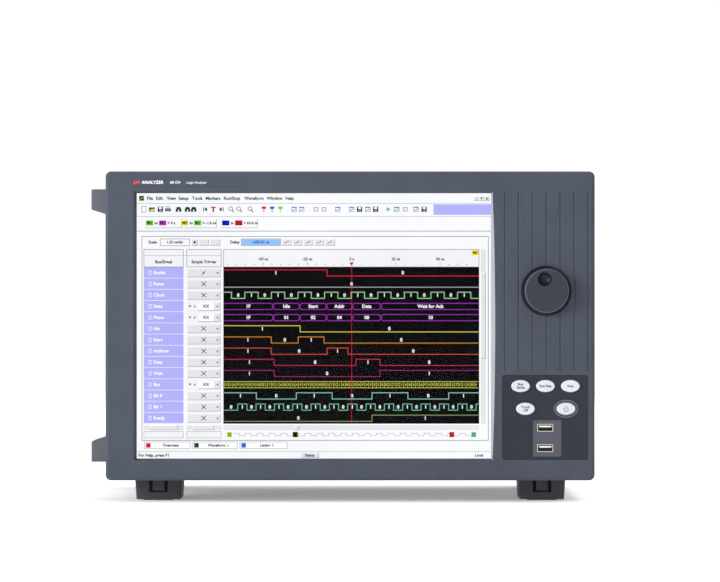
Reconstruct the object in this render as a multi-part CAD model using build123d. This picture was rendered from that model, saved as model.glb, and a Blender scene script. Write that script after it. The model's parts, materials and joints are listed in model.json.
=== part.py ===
from build123d import *
from math import cos, pi, radians, sin
import os

# A bench logic analyzer with a 15 inch touch display: a moulded front bezel on a boxed metal case,
# with bottom, side and rear feet, a strap handle, two exhaust fans and the boards that it needs inside.
# Lengths are millimetres. While modelling, x runs right from the bezel's left edge, y runs back from
# the bezel's face and z runs up from the floor. export_all() moves every piece, so that the written
# frame has its origin at the bottom centre of the whole object, with x right, y back and z up.

# ---------------------------------------------------------------- driving dimensions: envelope
FOOT_H = 19.0            # floor to the bezel's lower edge
CASE_BACK = 299.3        # bezel face to the rear panel's outer face
BEZEL_D = 34.0           # bezel face to the bezel's rear edge
CASE_SIDE_INSET = 7.0    # bezel overhang past the case at each side
CASE_TOP_INSET = 4.0     # the same above and below
CASE_R = 5.0             # rounding of the case's long edges
SIDE_FOOT_OUT = 15.0     # side feet past the bezel's left edge
HANDLE_OUT = 2.2         # handle past the bezel's right edge
REAR_FOOT_OUT = 20.0     # rear feet past the rear panel
KNOB_OUT = 11.0          # knob face in front of the bezel face

# ---------------------------------------------------------------- driving dimensions: display
DISPLAY_W = 308.8        # clear opening in front of the display
DISPLAY_H = 231.2
DISPLAY_LEFT = 27.0      # margins of the bezel round that opening
DISPLAY_BELOW = 19.0
DISPLAY_ABOVE = 19.0
CONTROL_GAP = 9.5        # opening to the keypad, which sets the width of the control strip
MOUTH_SIDE = 2.3         # how far the opening's side walls slope
MOUTH_EDGE = 1.4         # how far its upper and lower walls slope
MOUTH_BOW = 2.2          # bow of the right-hand wall at the face
GASKET_LAP = 1.0         # gasket past the opening
SEAT_Y = 7.0             # face to the gasket behind the sloping walls
GASKET_T = 1.0
GLASS_T = 2.2
GLASS_MARGIN = 6.0       # touch glass past the opening, each way
CELL_T = 1.5
CELL_MARGIN = 3.0
AIR_GAP = 0.3            # between the touch glass and the display cell
BACKLIGHT_MARGIN_X = 7.6
BACKLIGHT_MARGIN_Z = 9.2
BRACKET_T = 1.5
BRACKET_LAP = 18.0       # bracket inside the opening, each way
BRACKET_BAR = 30.0       # upright bar across the bracket's window
BACKLIGHT_RIM_GAP = 0.5  # round the touch glass
BACKLIGHT_RIB = 3.0
BACKLIGHT_RIB_PITCH = 40.0
BACKLIGHT_RIB_DEPTH = 2.0

# ---------------------------------------------------------------- driving dimensions: bezel
BEZEL_CORNER_R = 5.0
BEZEL_EDGE_R = 3.0       # rounding where the face meets the sides
BEZEL_T = 3.5            # thickness of the face
FRAME_GAP = 0.5          # bezel walls to the front frame inside them
MOUTH_WALL = 3.4         # material behind the sloping walls, each way
FLUTE_COUNT = 7
FLUTE_PITCH = 12.07
FLUTE_EDGE = 5.7         # last flute to the bezel's right edge
FLUTE_R = 1.1
FLUTE_LIFT = 0.45        # flute axis in front of the face
FLUTE_ABOVE_KEYPAD = 3.8
FLUTE_OVER_DISPLAY = 1.0 # flutes end this far above the opening
BOSS_R = 4.0
BOSS_INSET = 11.5        # fixing bosses from the bezel's sides
BOSS_FROM_END = 30.0     # upper and lower left bosses from the bezel's ends
NAMEPLATE_W = 100.0
NAMEPLATE_H = 9.4
NAMEPLATE_LEFT = 23.7
NAMEPLATE_TOP = 4.4
NAMEPLATE_T = 0.5
NAMEPLATE_SINK = 0.1     # nameplate below the face

# ---------------------------------------------------------------- driving dimensions: controls
KNOB_R = 19.6
KNOB_TAPER = 0.6         # knob's face smaller than its skirt
KNOB_SIDE = 42.3         # knob axis to the bezel's right edge
KNOB_ABOVE_KEYPAD = 73.1
KNOB_EDGE_R = 1.2
WELL_CLEARANCE = 2.3     # knob's skirt to the wall of the round well it sits in
WELL_DEPTH = 4.5
WELL_WALL = 3.0
KNOB_GAP = 0.8           # knob to the floor of its well
DIMPLE_R = 6.1           # finger dimple
DIMPLE_DEPTH = 4.2
DIMPLE_AT = 10.3         # dimple from the knob's axis
DIMPLE_TURN = 10.0       # degrees to the left of the top
SHAFT_R = 3.0
SHAFT_DEPTH_IN_KNOB = 6.0
RUNNING = 0.08           # radial clearance round a turning shaft
BUSHING_R = 4.5
BUSHING_OUT = 1.8        # bushing past the floor of the well
NUT_R = 6.6
NUT_T = 1.5
ENCODER_SIDE = 14.0
KNOB_RELIEF_R = 9.0
KNOB_RELIEF = 3.6
SHAFT_END_GAP = 0.4      # shaft's rear end to the board

KEYPAD_H = 73.9
KEYPAD_SIDE = 5.8        # keypad to the bezel's right edge
KEYPAD_BELOW = 18.1      # keypad to the bezel's lower edge
KEYPAD_T = 2.0
KEYPAD_SINK = 0.4        # keypad plate below the face
KEYPAD_LEDGE = 2.5
KEYPAD_R = 2.5
TRIM_FIT = 0.05          # clearance round a piece of trim in its pocket
BUTTON_W = 16.3
BUTTON_H = 10.6
BUTTON_OUT = 1.6         # button face in front of the keypad plate
BUTTON_CROWN = 0.8       # rounding of a button's rim
BUTTON_GAP = 0.35        # clearance round a button in its hole
BUTTON_FLANGE = 1.3      # retaining flange past the button, each way
BUTTON_FLANGE_T = 1.0
BUTTON_FLANGE_GAP = 0.3
BUTTON_STEM_W = 8.0
BUTTON_STEM_H = 5.0
BUTTON_STEM_END = 8.0    # face to the rear end of a button's stem
BUTTON_TRAVEL = 1.0
DOME_GAP = 0.2           # left between a pressed button and its dome
BUTTON_SPACE = 5.35      # between the buttons of the upper row
BUTTONS_FROM_LEFT = 7.85 # upper row to the keypad's left edge
BUTTONS_FROM_RIGHT = 7.45
TOP_ROW_Z = 64.2         # from the keypad's lower left corner
LOWER_ROW_Z = 44.45
TOUCH_LOCK_SHIFT = 4.2   # lower left button to the right of the one above
POWER_SHIFT = 3.8        # power button to the left of the one above
RING_MARGIN = 2.7        # width of the ring round the power button
RING_PROUD = 0.4
MAT_T = 1.4
MAT_MARGIN = 4.0         # mat inside the keypad
BOARD_T = 1.6
BOARD_Y = 12.0           # face to the front of the front panel board
BOARD_MARGIN = 3.0       # board inside the keypad
BOARD_ABOVE_KNOB = 24.0
CHIP = 12.0
CHIP_T = 2.0

USB_PLATE_W = 24.7
USB_PLATE_H = 31.7
USB_PLATE_X = 26.8       # from the keypad's lower left corner
USB_PLATE_Z = 2.8
USB_PLATE_PROUD = 0.2
USB_FROM_LEFT = 10.6     # port centre from the plate's left edge
USB_LOWER_Z = 7.4        # lower port centre from the plate's lower edge
USB_PITCH = 17.7
USB_W = 13.6
USB_H = 6.3
USB_WALL = 0.45
USB_DEPTH = 14.0
USB_LIP = 0.25           # rolled lip round a port's mouth
USB_LIP_T = 0.3
TONGUE_W = 11.1
TONGUE_T = 1.4
TONGUE_ABOVE = 0.9       # from the shell's inner top
TONGUE_BACK = 1.0        # tongue's tip behind the port's mouth

# ---------------------------------------------------------------- driving dimensions: case
FRAME_T = 12.0           # front and rear frames, seen from the front
FRONT_FRAME_IN = 10.0    # front frame inside the bezel
FRONT_FRAME_OUT = 2.0    # and past its rear edge
REAR_FRAME_D = 14.0
PANEL_T = 1.5
COVER_T = 1.5
COVER_GAP = 0.3          # seam round each cover
RAIL = 16.0
RAIL_T = 4.0
RAIL_LAP = 8.0           # how far a cover lies on its rail
PANEL_INSET = 3.0        # rear panel inside the rear frame's edge
PANEL_SCREW_EDGE = 7.5   # rear panel's screws from the case's edges

VENT_W = 3.2
VENT_L = 20.0
VENT_PITCH = 7.0
VENT_ROW = 26.0

# ---------------------------------------------------------------- driving dimensions: feet, handle
FOOT_W = 42.0
FOOT_L = 60.0
FOOT_TAPER = 4.0
FOOT_R = 3.0
FOOT_SIDE = 44.2         # front foot's centre to the bezel's side
REAR_FOOT_W = 38.0
REAR_FOOT_SIDE = 34.0
FOOT_SETBACK = 5.0       # foot behind the bezel's rear edge
REAR_FOOT_SETBACK = 14.0 # rear foot in front of the rear panel
PAD_OUT = 0.8            # rubber pad below the foot
PAD_T = 2.0
LATCH_W = 16.3           # window with the latch tab in a foot's front
LATCH_H = 11.6
LATCH_Z = 7.0
LATCH_TAB_W = 10.4
LATCH_TAB_RISE = 1.4     # tab's lower end above the window's
LATCH_TAB_Y = 0.8        # tab behind the foot's front
LATCH_TAB_T = 2.6
LATCH_DEPTH = 8.0
STAND_R = 2.0            # wire of the tilt stand
STAND_W = 22.0
STAND_L = 62.0
STAND_PIN = 7.0
STAND_Y = 14.0           # stand's pivot behind the foot's front
STAND_Z = 5.2
CHANNEL_W = 28.0
CHANNEL_TOP = 8.6
CHANNEL_FRONT = 4.6      # stand's channel in front of its pivot

SIDE_FOOT_H = 18.0       # outer face
SIDE_FOOT_SLOPE = 6.9    # extra height at the base
SIDE_FOOT_L = 50.0
SIDE_FOOT_EDGE = 14.6    # outer face to the bezel's upper or lower edge
SIDE_FOOT_SETBACK = 4.0
SIDE_FOOT_R = 1.2

REAR_CORNER = 38.0
REAR_CORNER_R = 6.0
REAR_CORNER_INSET = 2.0
REAR_CORNER_CHAMFER = 2.0

HANDLE_L = 200.0
HANDLE_W = 30.0
HANDLE_CAP_L = 34.0
HANDLE_SCREW_IN = 9.0    # handle's screws from its ends
STRAP_W = 24.0
STRAP_T = 3.6
STRAP_SINK = 0.8         # strap below the caps' outer faces
STRAP_IN_CAP = 14.0
STRAP_GAP = 0.3

SCREW_HEAD_R = 3.6
SCREW_HEAD_T = 2.2
SCREW_R = 1.95
SCREW_L = 7.0
SCREW_HOLE = 0.15        # radial clearance round a screw
SCREW_SINK = 4.0         # head's underside outside the case, inside a foot or handle cap
SOCKET_R = 1.7

# ---------------------------------------------------------------- driving dimensions: rear and inside
FAN = 80.0
FAN_D = 25.0
FAN_DUCT_R = 38.0
FAN_HUB_R = 17.0
FAN_TIP_GAP = 1.2
FAN_BLADES = 7
FAN_BLADE_T = 1.6
FAN_BLADE_CHORD = 22.0
FAN_BLADE_ANGLE = 50.0
FAN_CORNER_R = 4.0
FAN_STRUT_W = 4.0
FAN_STRUT_T = 3.0
FAN_SPINDLE_R = 2.0
FAN_SPINDLE_L = 9.0
FAN_FACE_GAP = 1.5       # rotor inside the frame's outer face
FAN_BOLT_L = 10.0
FAN_BOLT = 71.5
FAN_LEFT_X = 92.0
FAN_PITCH = 96.0
FAN_BELOW_TOP = 66.0     # fan axis below the case's top
GUARD_WIRE_R = 0.9
GUARD_RINGS = 5
GUARD_T = 2.4            # guard's screw eyes
GUARD_EYE = 0.6          # screw eye past the screw's head

INLET_X = 345.0
INLET_Z = 45.0
INLET_FLANGE_W = 48.0
INLET_FLANGE_H = 27.5
INLET_FLANGE_T = 2.5
INLET_BODY_W = 30.0
INLET_BODY_H = 22.0
INLET_BODY_D = 22.0
INLET_CAVITY_W = 24.6
INLET_CAVITY_H = 16.8
INLET_CAVITY_D = 15.5
PIN_W = 2.0
PIN_H = 4.0
PIN_L = 13.0
PIN_TAIL = 7.0
PIN_SIDE = 7.0
PIN_LIVE_DROP = 2.2      # live and neutral pins below the centre
PIN_EARTH_RISE = 2.2
INLET_EDGE_R = 0.8
INLET_CORNER_R = 4.0
INLET_CUT = 0.22         # cut corners of the inlet, in parts of its height
VENT_FROM_INLET = 42.0   # rear vents' first column to the left of the inlet's centre
VENT_ABOVE_INLET = 37.0
REAR_VENT_COLUMNS = 13
REAR_VENT_DROP = 12.0    # upper rear vents below the fans' axis

POD_COUNT = 4
POD_W = 50.0
POD_H = 11.0
POD_WALL = 1.2
POD_D = 16.0
POD_OUT = 4.0
POD_LEFT_X = 52.0
POD_PITCH = 57.0
POD_TONGUE_T = 3.0
POD_TONGUE_IN = 5.0      # tongue inside the shell, each side
POD_TONGUE_BACK = 2.0    # tongue's tip inside the shell's mouth
POD_FLOOR = 2.0
POD_FLANGE = 3.0
POD_FLANGE_T = 1.2
POD_FIT = 0.2
POD_ABOVE_BOARD = 3.0

BNC_COUNT = 3
BNC_LEFT_X = 225.0
BNC_PITCH = 25.0
BNC_Z = 70.0
BNC_R = 4.8
BNC_BORE_R = 4.1
BNC_OUT = 12.0
BNC_HEX_R = 7.4
BNC_HEX_T = 3.0
BNC_THREAD_R = 4.8
BNC_IN = 8.0
BNC_LUG_R = 1.0
BNC_LUG_OUT = 1.0        # lug past the barrel
BNC_LUG_BACK = 3.0       # lug from the barrel's end
BNC_CORE_R = 2.4
BNC_CORE_BACK = 2.0      # core from the barrel's end
BNC_PIN_R = 0.7

IO_X = 40.0
IO_W = 160.0
IO_H = 44.0
IO_T = 1.0
IO_LAP = (4.0, 3.0)      # shield over the hole in the rear panel, sideways and up
IO_BELOW_BOARD = 4.0     # shield's lower edge below the processor board
AUDIO_COUNT = 3
AUDIO_R = 3.2
AUDIO_X = 22.0           # holes of the audio jacks, from the shield's left edge
AUDIO_PITCH = 18.0
AUDIO_BELOW = 9.0        # and from its upper edge
USB_STACK_X = 20.0       # rear ports, from the shield's left edge
USB_STACK_PITCH = 20.0
USB_STACK_STEP = 9.0
LAN_X = 58.0
LAN_W = 16.0
LAN_H = 13.6
LAN_D = 18.0
LAN_OUT = 0.6            # network socket past the shield
LAN_NOTCH_W = 6.0
LAN_NOTCH_H = 1.8
LAN_CAVITY_LIFT = 0.8
LAN_CAVITY_W = 11.8
LAN_CAVITY_H = 7.6
LAN_CAVITY_D = 12.0
DSUB_X = 94.0
DSUB_PITCH = 40.0
DSUB_W = 17.0
DSUB_H = 8.4
DSUB_FLANGE_W = 31.0
DSUB_FLANGE_H = 12.5
DSUB_OUT = 5.0
DSUB_BODY_D = 10.0
JACKSCREW_R = 2.6
JACKSCREW_SIDE = 12.5

BOARDS_SETBACK = 24.0    # boards and deck behind the front frame
BOARD_SIDE_GAP = 8.0     # boards to the deck's turned-down edge
DECK_T = 1.5
DECK_Z = 90.0            # deck above the case's floor edge
DECK_X1 = 282.0
STANDOFF = 6.0
STANDOFF_R = 3.0
STANDOFF_IN = 20.0       # deck's standoffs from its edges
MOTHER_SIDE_GAP = 12.0
SOCKET = 50.0            # processor's socket
SOCKET_T = 3.0
SOCKET_X = 60.0          # socket, card slots and modules from the processor board's left edge
CARD_SLOT_X = 150.0
CARD_SLOT_PITCH = 22.0
CARD_SLOT_W = 8.0
CARD_SLOT_L = 90.0
CARD_SLOT_H = 9.0
MODULE_X = 24.0
MODULE_PITCH = 10.0
MODULE_T = 1.4
MODULE_L = 132.0
MODULE_H = 30.0
SINK_LAP = 2.0           # heatsinks past the chips below them
SINK_FINS = 12
SINK_FIN_PITCH = 4.6
SINK_FIN_T = 1.4
SINK_BASE = 5.0
SINK_H = 22.0
ACQ_Z = 22.0
ACQ_SIDE_GAP = 4.0
ACQ_STANDOFF_IN = 12.0
ACQ_STANDOFF_REAR = 40.0
ACQ_BOARD_T = 2.4
ACQ_CHIP = 32.0
ACQ_CHIP_T = 3.0
ACQ_SINK_BASE = 3.0
ACQ_SINK_H = 15.0
ACQ_SINK_FINS = 7
ACQ_SINK_PITCH = 5.4
ACQ_SINK_FIN_T = 1.6
SUPPLY_W = 118.0
SUPPLY_L = 150.0
SUPPLY_H = 84.0
SUPPLY_WALL = 1.2
SUPPLY_RISE = 6.0        # power supply above the bottom cover
SUPPLY_GAP = 3.0         # power supply to the inlet's tails
SUPPLY_VENT_COLUMNS = 12
SUPPLY_VENT_IN = (20.0, 30.0)
SUPPLY_FOOT = 12.0
SUPPLY_FOOT_IN = 8.0
DRIVE_W = 101.6
DRIVE_L = 147.0
DRIVE_H = 26.1
DRIVE_RISE = 14.0        # hard drive above the power supply
DRIVE_LID_IN = 6.0       # sunk part of the drive's lid from its edges
DRIVE_LID_SINK = 1.5
DRIVE_LID_REAR = 30.0
DRIVE_DISC_R = 36.0      # raised round over the discs
DRIVE_DISC_FORWARD = 12.0

# ---------------------------------------------------------------- places worked out from them
TOP_ROW_PITCH = BUTTON_W + BUTTON_SPACE
TOP_ROW_X = BUTTONS_FROM_LEFT + BUTTON_W / 2
TOUCH_LOCK_X = TOP_ROW_X + TOUCH_LOCK_SHIFT
POWER_X = TOP_ROW_X + 2 * TOP_ROW_PITCH - POWER_SHIFT
KEYPAD_W = BUTTONS_FROM_LEFT + 2 * TOP_ROW_PITCH + BUTTON_W + BUTTONS_FROM_RIGHT
CONTROL_W = CONTROL_GAP + KEYPAD_W + KEYPAD_SIDE
KNOB_FACE_R = KNOB_R - KNOB_TAPER
WELL_R = KNOB_R + WELL_CLEARANCE
WELL_SEAT = WELL_DEPTH + WELL_WALL
BEZEL_W = DISPLAY_LEFT + DISPLAY_W + CONTROL_W
BEZEL_H = DISPLAY_BELOW + DISPLAY_H + DISPLAY_ABOVE
BEZEL_Z0 = FOOT_H
BEZEL_Z1 = FOOT_H + BEZEL_H
DISPLAY_X0 = DISPLAY_LEFT
DISPLAY_X1 = DISPLAY_LEFT + DISPLAY_W
DISPLAY_Z0 = BEZEL_Z0 + DISPLAY_BELOW
DISPLAY_Z1 = DISPLAY_Z0 + DISPLAY_H
CASE_X0 = CASE_SIDE_INSET
CASE_X1 = BEZEL_W - CASE_SIDE_INSET
CASE_Z0 = BEZEL_Z0 + CASE_TOP_INSET
CASE_Z1 = BEZEL_Z1 - CASE_TOP_INSET
FRONT_FRAME_Y0 = BEZEL_D - FRONT_FRAME_IN
FRONT_FRAME_Y1 = BEZEL_D + FRONT_FRAME_OUT
PANEL_Y0 = CASE_BACK - PANEL_T
REAR_FRAME_Y0 = PANEL_Y0 - REAR_FRAME_D
GLASS_Y0 = SEAT_Y + GASKET_T
CELL_Y0 = GLASS_Y0 + GLASS_T + AIR_GAP
CELL_Y1 = CELL_Y0 + CELL_T
BRACKET_Y0 = FRONT_FRAME_Y0 - BRACKET_T
KEYPAD_X1 = BEZEL_W - KEYPAD_SIDE
KEYPAD_X0 = KEYPAD_X1 - KEYPAD_W
KEYPAD_Z0 = BEZEL_Z0 + KEYPAD_BELOW
KEYPAD_Z1 = KEYPAD_Z0 + KEYPAD_H
KEYPAD_Y1 = KEYPAD_SINK + KEYPAD_T
KNOB_X = BEZEL_W - KNOB_SIDE
KNOB_Z = KEYPAD_Z1 + KNOB_ABOVE_KEYPAD
USB_X = KEYPAD_X0 + USB_PLATE_X + USB_FROM_LEFT
USB_ZS = [KEYPAD_Z0 + USB_PLATE_Z + USB_LOWER_Z + i * USB_PITCH for i in range(2)]
MID_Z = (CASE_Z0 + CASE_Z1) / 2
FAN_Z = CASE_Z1 - FAN_BELOW_TOP
FAN_XS = [FAN_LEFT_X, FAN_LEFT_X + FAN_PITCH]
FAN_Y0 = PANEL_Y0 - FAN_D
BOARDS_Y0 = FRONT_FRAME_Y1 + BOARDS_SETBACK
BOARDS_MID_Y = (BOARDS_Y0 + REAR_FRAME_Y0) / 2
ACQ_X0 = CASE_X0 + RAIL + ACQ_SIDE_GAP
ACQ_X1 = DECK_X1 - BOARD_SIDE_GAP
ACQ_TOP = CASE_Z0 + ACQ_Z + ACQ_BOARD_T
MOTHER_X0 = CASE_X0 + RAIL_T + MOTHER_SIDE_GAP
DECK_BOTTOM = CASE_Z0 + DECK_Z
MOTHER_Z0 = DECK_BOTTOM + DECK_T + STANDOFF
MOTHER_TOP = MOTHER_Z0 + BOARD_T
IO_Z0 = MOTHER_TOP - IO_BELOW_BOARD
SUPPLY_X0 = INLET_X - SUPPLY_W / 2
SUPPLY_Z0 = CASE_Z0 + COVER_T + SUPPLY_RISE
SUPPLY_Y1 = PANEL_Y0 - INLET_BODY_D - PIN_TAIL - SUPPLY_GAP
SUPPLY_Y0 = SUPPLY_Y1 - SUPPLY_L
SUPPLY_Z1 = SUPPLY_Z0 + SUPPLY_H
CENTRE_X = (BEZEL_W + HANDLE_OUT - SIDE_FOOT_OUT) / 2
CENTRE_Y = (CASE_BACK + REAR_FOOT_OUT - KNOB_OUT) / 2
IO_Y1 = CASE_BACK + IO_T
COVER_Y0 = FRONT_FRAME_Y1 + COVER_GAP
COVER_Y1 = REAR_FRAME_Y0 - COVER_GAP
COVER_IN = RAIL - RAIL_LAP + COVER_GAP
VENT_COLUMNS = int((COVER_Y1 - COVER_Y0 - 2 * RAIL) / VENT_PITCH)
VENT_FIRST = (COVER_Y0 + COVER_Y1) / 2 - (VENT_COLUMNS - 1) * VENT_PITCH / 2
PANEL_SCREW_COLUMNS = [CASE_X0 + (CASE_X1 - CASE_X0) * share for share in (0.25, 0.5, 0.75)]
PANEL_SCREWS = [
    (x, z) for x in PANEL_SCREW_COLUMNS for z in (CASE_Z0 + PANEL_SCREW_EDGE, CASE_Z1 - PANEL_SCREW_EDGE)
] + [(CASE_X0 + PANEL_SCREW_EDGE, MID_Z), (CASE_X1 - PANEL_SCREW_EDGE, MID_Z)]
SIDE_FOOT_YS = [
    FRONT_FRAME_Y1 + SIDE_FOOT_SETBACK + SIDE_FOOT_L / 2,
    REAR_FRAME_Y0 - SIDE_FOOT_SETBACK - SIDE_FOOT_L / 2,
]
SIDE_FOOT_Z = SIDE_FOOT_EDGE + SIDE_FOOT_H / 2
SIDE_FOOT_SPOTS = [(y, z) for y in SIDE_FOOT_YS for z in (BEZEL_Z0 + SIDE_FOOT_Z, BEZEL_Z1 - SIDE_FOOT_Z)]
SIDE_COUNTERBORE = SIDE_FOOT_OUT + CASE_X0 - SCREW_SINK
HANDLE_Y = (COVER_Y0 + COVER_Y1) / 2
HANDLE_SCREWS = [(HANDLE_Y + side * (HANDLE_L / 2 - HANDLE_SCREW_IN), MID_Z) for side in (-1, 1)]
FOOT_XS = [FOOT_SIDE, BEZEL_W - FOOT_SIDE]
REAR_FOOT_XS = [REAR_FOOT_SIDE, BEZEL_W - REAR_FOOT_SIDE]
FRONT_FOOT_Y = BEZEL_D + FOOT_SETBACK
REAR_FOOT_Y = CASE_BACK - REAR_FOOT_SETBACK - FOOT_L
POD_Z = ACQ_TOP + POD_H / 2 + POD_ABOVE_BOARD
POD_XS = [POD_LEFT_X + POD_W / 2 + i * POD_PITCH for i in range(POD_COUNT)]
BNC_XS = [BNC_LEFT_X + i * BNC_PITCH for i in range(BNC_COUNT)]
DSUB_XS = [IO_X + DSUB_X + i * DSUB_PITCH for i in range(2)]
DSUB_Z = MOTHER_TOP + DSUB_FLANGE_H / 2
LAN_CX = IO_X + LAN_X + LAN_W / 2
LAN_Z = MOTHER_TOP + LAN_H / 2
INLET_CZ = BEZEL_Z0 + INLET_Z


# ---------------------------------------------------------------- helpers
def rect(x0, x1, z0, z1, r=0.0):
    """A rectangle between two corners, rounded if r is given."""
    shape = RectangleRounded(x1 - x0, z1 - z0, r) if r else Rectangle(x1 - x0, z1 - z0)
    return Pos((x0 + x1) / 2, (z0 + z1) / 2) * shape


def front_prism(sketch, y0, y1):
    """A profile drawn in front view, x right and z up, running back from y0 to y1."""
    return extrude(Plane.XZ.offset(-y0) * sketch, amount=-(y1 - y0))


def top_prism(sketch, z0, z1):
    """A profile drawn in plan, x right and y back, rising from z0 to z1."""
    return extrude(Plane.XY.offset(z0) * sketch, amount=z1 - z0)


def side_prism(sketch, x0, x1):
    """A profile drawn in side view, y back and z up, running right from x0 to x1."""
    return extrude(Plane.YZ.offset(x0) * sketch, amount=x1 - x0)


def block(x0, x1, y0, y1, z0, z1):
    return Pos((x0 + x1) / 2, (y0 + y1) / 2, (z0 + z1) / 2) * Box(x1 - x0, y1 - y0, z1 - z0)


def rod_y(x, z, r, y0, y1):
    return front_prism(Pos(x, z) * Circle(r), y0, y1)


def group(shapes):
    """Separate solids kept together in one node."""
    return Compound([solid for shape in shapes for solid in shape.solids()])


def slots(x0, z0, columns, rows, pitch=VENT_PITCH, row=VENT_ROW, width=VENT_W, length=VENT_L):
    """A grid of upright vent slots whose lower left slot is centred on x0, z0."""
    slot = SlotOverall(length, width, rotation=90)
    spots = [(x0 + i * pitch, z0 + j * row) for i in range(columns) for j in range(rows)]
    return Sketch() + [Pos(x, z) * slot for x, z in spots]


# ---------------------------------------------------------------- bezel
def mouth_outline(x0, x1, z0, z1, bow):
    """Front view of the display opening. Its right edge bows outwards by bow."""
    middle = (x1 + bow, (z0 + z1) / 2)
    right = ThreePointArc((x1, z0), middle, (x1, z1)) if bow else Line((x1, z0), (x1, z1))
    rest = [Line((x1, z1), (x0, z1)), Line((x0, z1), (x0, z0)), Line((x0, z0), (x1, z0))]
    return make_face(Curve() + [*rest, right])


def display_mouth():
    """The tapering hollow from the face down to the gasket."""
    front = mouth_outline(
        DISPLAY_X0 - MOUTH_SIDE,
        DISPLAY_X1 + MOUTH_SIDE - MOUTH_BOW / 2,
        DISPLAY_Z0 - MOUTH_EDGE,
        DISPLAY_Z1 + MOUTH_EDGE,
        MOUTH_BOW,
    )
    back = mouth_outline(DISPLAY_X0, DISPLAY_X1, DISPLAY_Z0, DISPLAY_Z1, 0)
    return loft([Plane.XZ * front, Plane.XZ.offset(-SEAT_Y) * back], ruled=True)


def flutes():
    """Upright round-bottomed grooves above the keypad."""
    z0 = KEYPAD_Z1 + FLUTE_ABOVE_KEYPAD
    height = DISPLAY_Z1 + FLUTE_OVER_DISPLAY - z0
    groove = Cylinder(FLUTE_R, height, align=(Align.CENTER, Align.CENTER, Align.MIN))
    xs = [BEZEL_W - FLUTE_EDGE - i * FLUTE_PITCH for i in range(FLUTE_COUNT)]
    return group([Pos(x, -FLUTE_LIFT, z0) * groove for x in xs])


def bezel_bosses():
    """Posts that clamp the display bracket at the left, and reach the front frame at the right."""
    left_zs = (BEZEL_Z0 + BOSS_FROM_END, (BEZEL_Z0 + BEZEL_Z1) / 2, BEZEL_Z1 - BOSS_FROM_END)
    left = [(BOSS_INSET, z) for z in left_zs]
    right = [(BEZEL_W - BOSS_INSET, z) for z in (BEZEL_Z0 + BOSS_INSET, BEZEL_Z1 - BOSS_INSET)]
    posts = [rod_y(x, z, BOSS_R, BEZEL_T - 0.5, BRACKET_Y0) for x, z in left]
    return posts + [rod_y(x, z, BOSS_R, BEZEL_T - 0.5, FRONT_FRAME_Y0) for x, z in right]


def front_bezel():
    body = front_prism(rect(0, BEZEL_W, BEZEL_Z0, BEZEL_Z1, BEZEL_CORNER_R), 0, BEZEL_D)
    body = fillet(body.faces().sort_by(Axis.Y)[0].edges(), BEZEL_EDGE_R)
    gap = FRAME_GAP
    inside = rect(CASE_X0 - gap, CASE_X1 + gap, CASE_Z0 - gap, CASE_Z1 + gap, CASE_R + gap)
    body -= front_prism(inside, BEZEL_T, BEZEL_D)
    wall = MOUTH_SIDE + MOUTH_WALL
    body += front_prism(
        rect(DISPLAY_X0 - wall, DISPLAY_X1 + wall, DISPLAY_Z0 - wall, DISPLAY_Z1 + wall), BEZEL_T, SEAT_Y
    )
    body += rod_y(KNOB_X, KNOB_Z, WELL_R + WELL_WALL, BEZEL_T, WELL_SEAT)
    body += bezel_bosses()
    body -= display_mouth()
    body -= flutes()
    body -= rod_y(KNOB_X, KNOB_Z, WELL_R, 0, WELL_DEPTH)
    body -= rod_y(KNOB_X, KNOB_Z, BUSHING_R + TRIM_FIT, 0, WELL_SEAT)
    body -= front_prism(rect(KEYPAD_X0, KEYPAD_X1, KEYPAD_Z0, KEYPAD_Z1, KEYPAD_R), 0, KEYPAD_Y1)
    body -= front_prism(
        rect(
            KEYPAD_X0 + KEYPAD_LEDGE,
            KEYPAD_X1 - KEYPAD_LEDGE,
            KEYPAD_Z0 + KEYPAD_LEDGE,
            KEYPAD_Z1 - KEYPAD_LEDGE,
        ),
        0,
        BEZEL_T,
    )
    return body - front_prism(nameplate_outline(0), 0, NAMEPLATE_T + NAMEPLATE_SINK)


def nameplate_outline(inset):
    z1 = BEZEL_Z1 - NAMEPLATE_TOP
    return rect(
        NAMEPLATE_LEFT + inset, NAMEPLATE_LEFT + NAMEPLATE_W - inset, z1 - NAMEPLATE_H + inset, z1 - inset
    )


def nameplate():
    return front_prism(nameplate_outline(TRIM_FIT), NAMEPLATE_SINK, NAMEPLATE_SINK + NAMEPLATE_T)


# ---------------------------------------------------------------- display
def display_outline(margin_x, margin_z=None, r=0.0):
    """A rectangle past the clear opening by the margins."""
    margin_z = margin_x if margin_z is None else margin_z
    return rect(
        DISPLAY_X0 - margin_x, DISPLAY_X1 + margin_x, DISPLAY_Z0 - margin_z, DISPLAY_Z1 + margin_z, r
    )


def display_gasket():
    ring = display_outline(GLASS_MARGIN) - display_outline(GASKET_LAP)
    return front_prism(ring, SEAT_Y, SEAT_Y + GASKET_T)


def touch_glass():
    return front_prism(display_outline(GLASS_MARGIN, r=1.0), GLASS_Y0, GLASS_Y0 + GLASS_T)


def display_cell():
    return front_prism(display_outline(CELL_MARGIN), CELL_Y0, CELL_Y1)


def display_backlight():
    """The display's lamp housing, with a raised rim round the cell."""
    outline = display_outline(BACKLIGHT_MARGIN_X, BACKLIGHT_MARGIN_Z)
    body = front_prism(outline, CELL_Y1, BRACKET_Y0)
    rim = outline - display_outline(GLASS_MARGIN + BACKLIGHT_RIM_GAP)
    body += front_prism(rim, CELL_Y0, CELL_Y1)
    grooves = []
    for i in range(1, int(DISPLAY_W / BACKLIGHT_RIB_PITCH)):
        x = DISPLAY_X0 + BACKLIGHT_RIB_PITCH * i
        grooves.append(
            block(x, x + BACKLIGHT_RIB, BRACKET_Y0 - BACKLIGHT_RIB_DEPTH, BRACKET_Y0, DISPLAY_Z0, DISPLAY_Z1)
        )
    return body - group(grooves)


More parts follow.
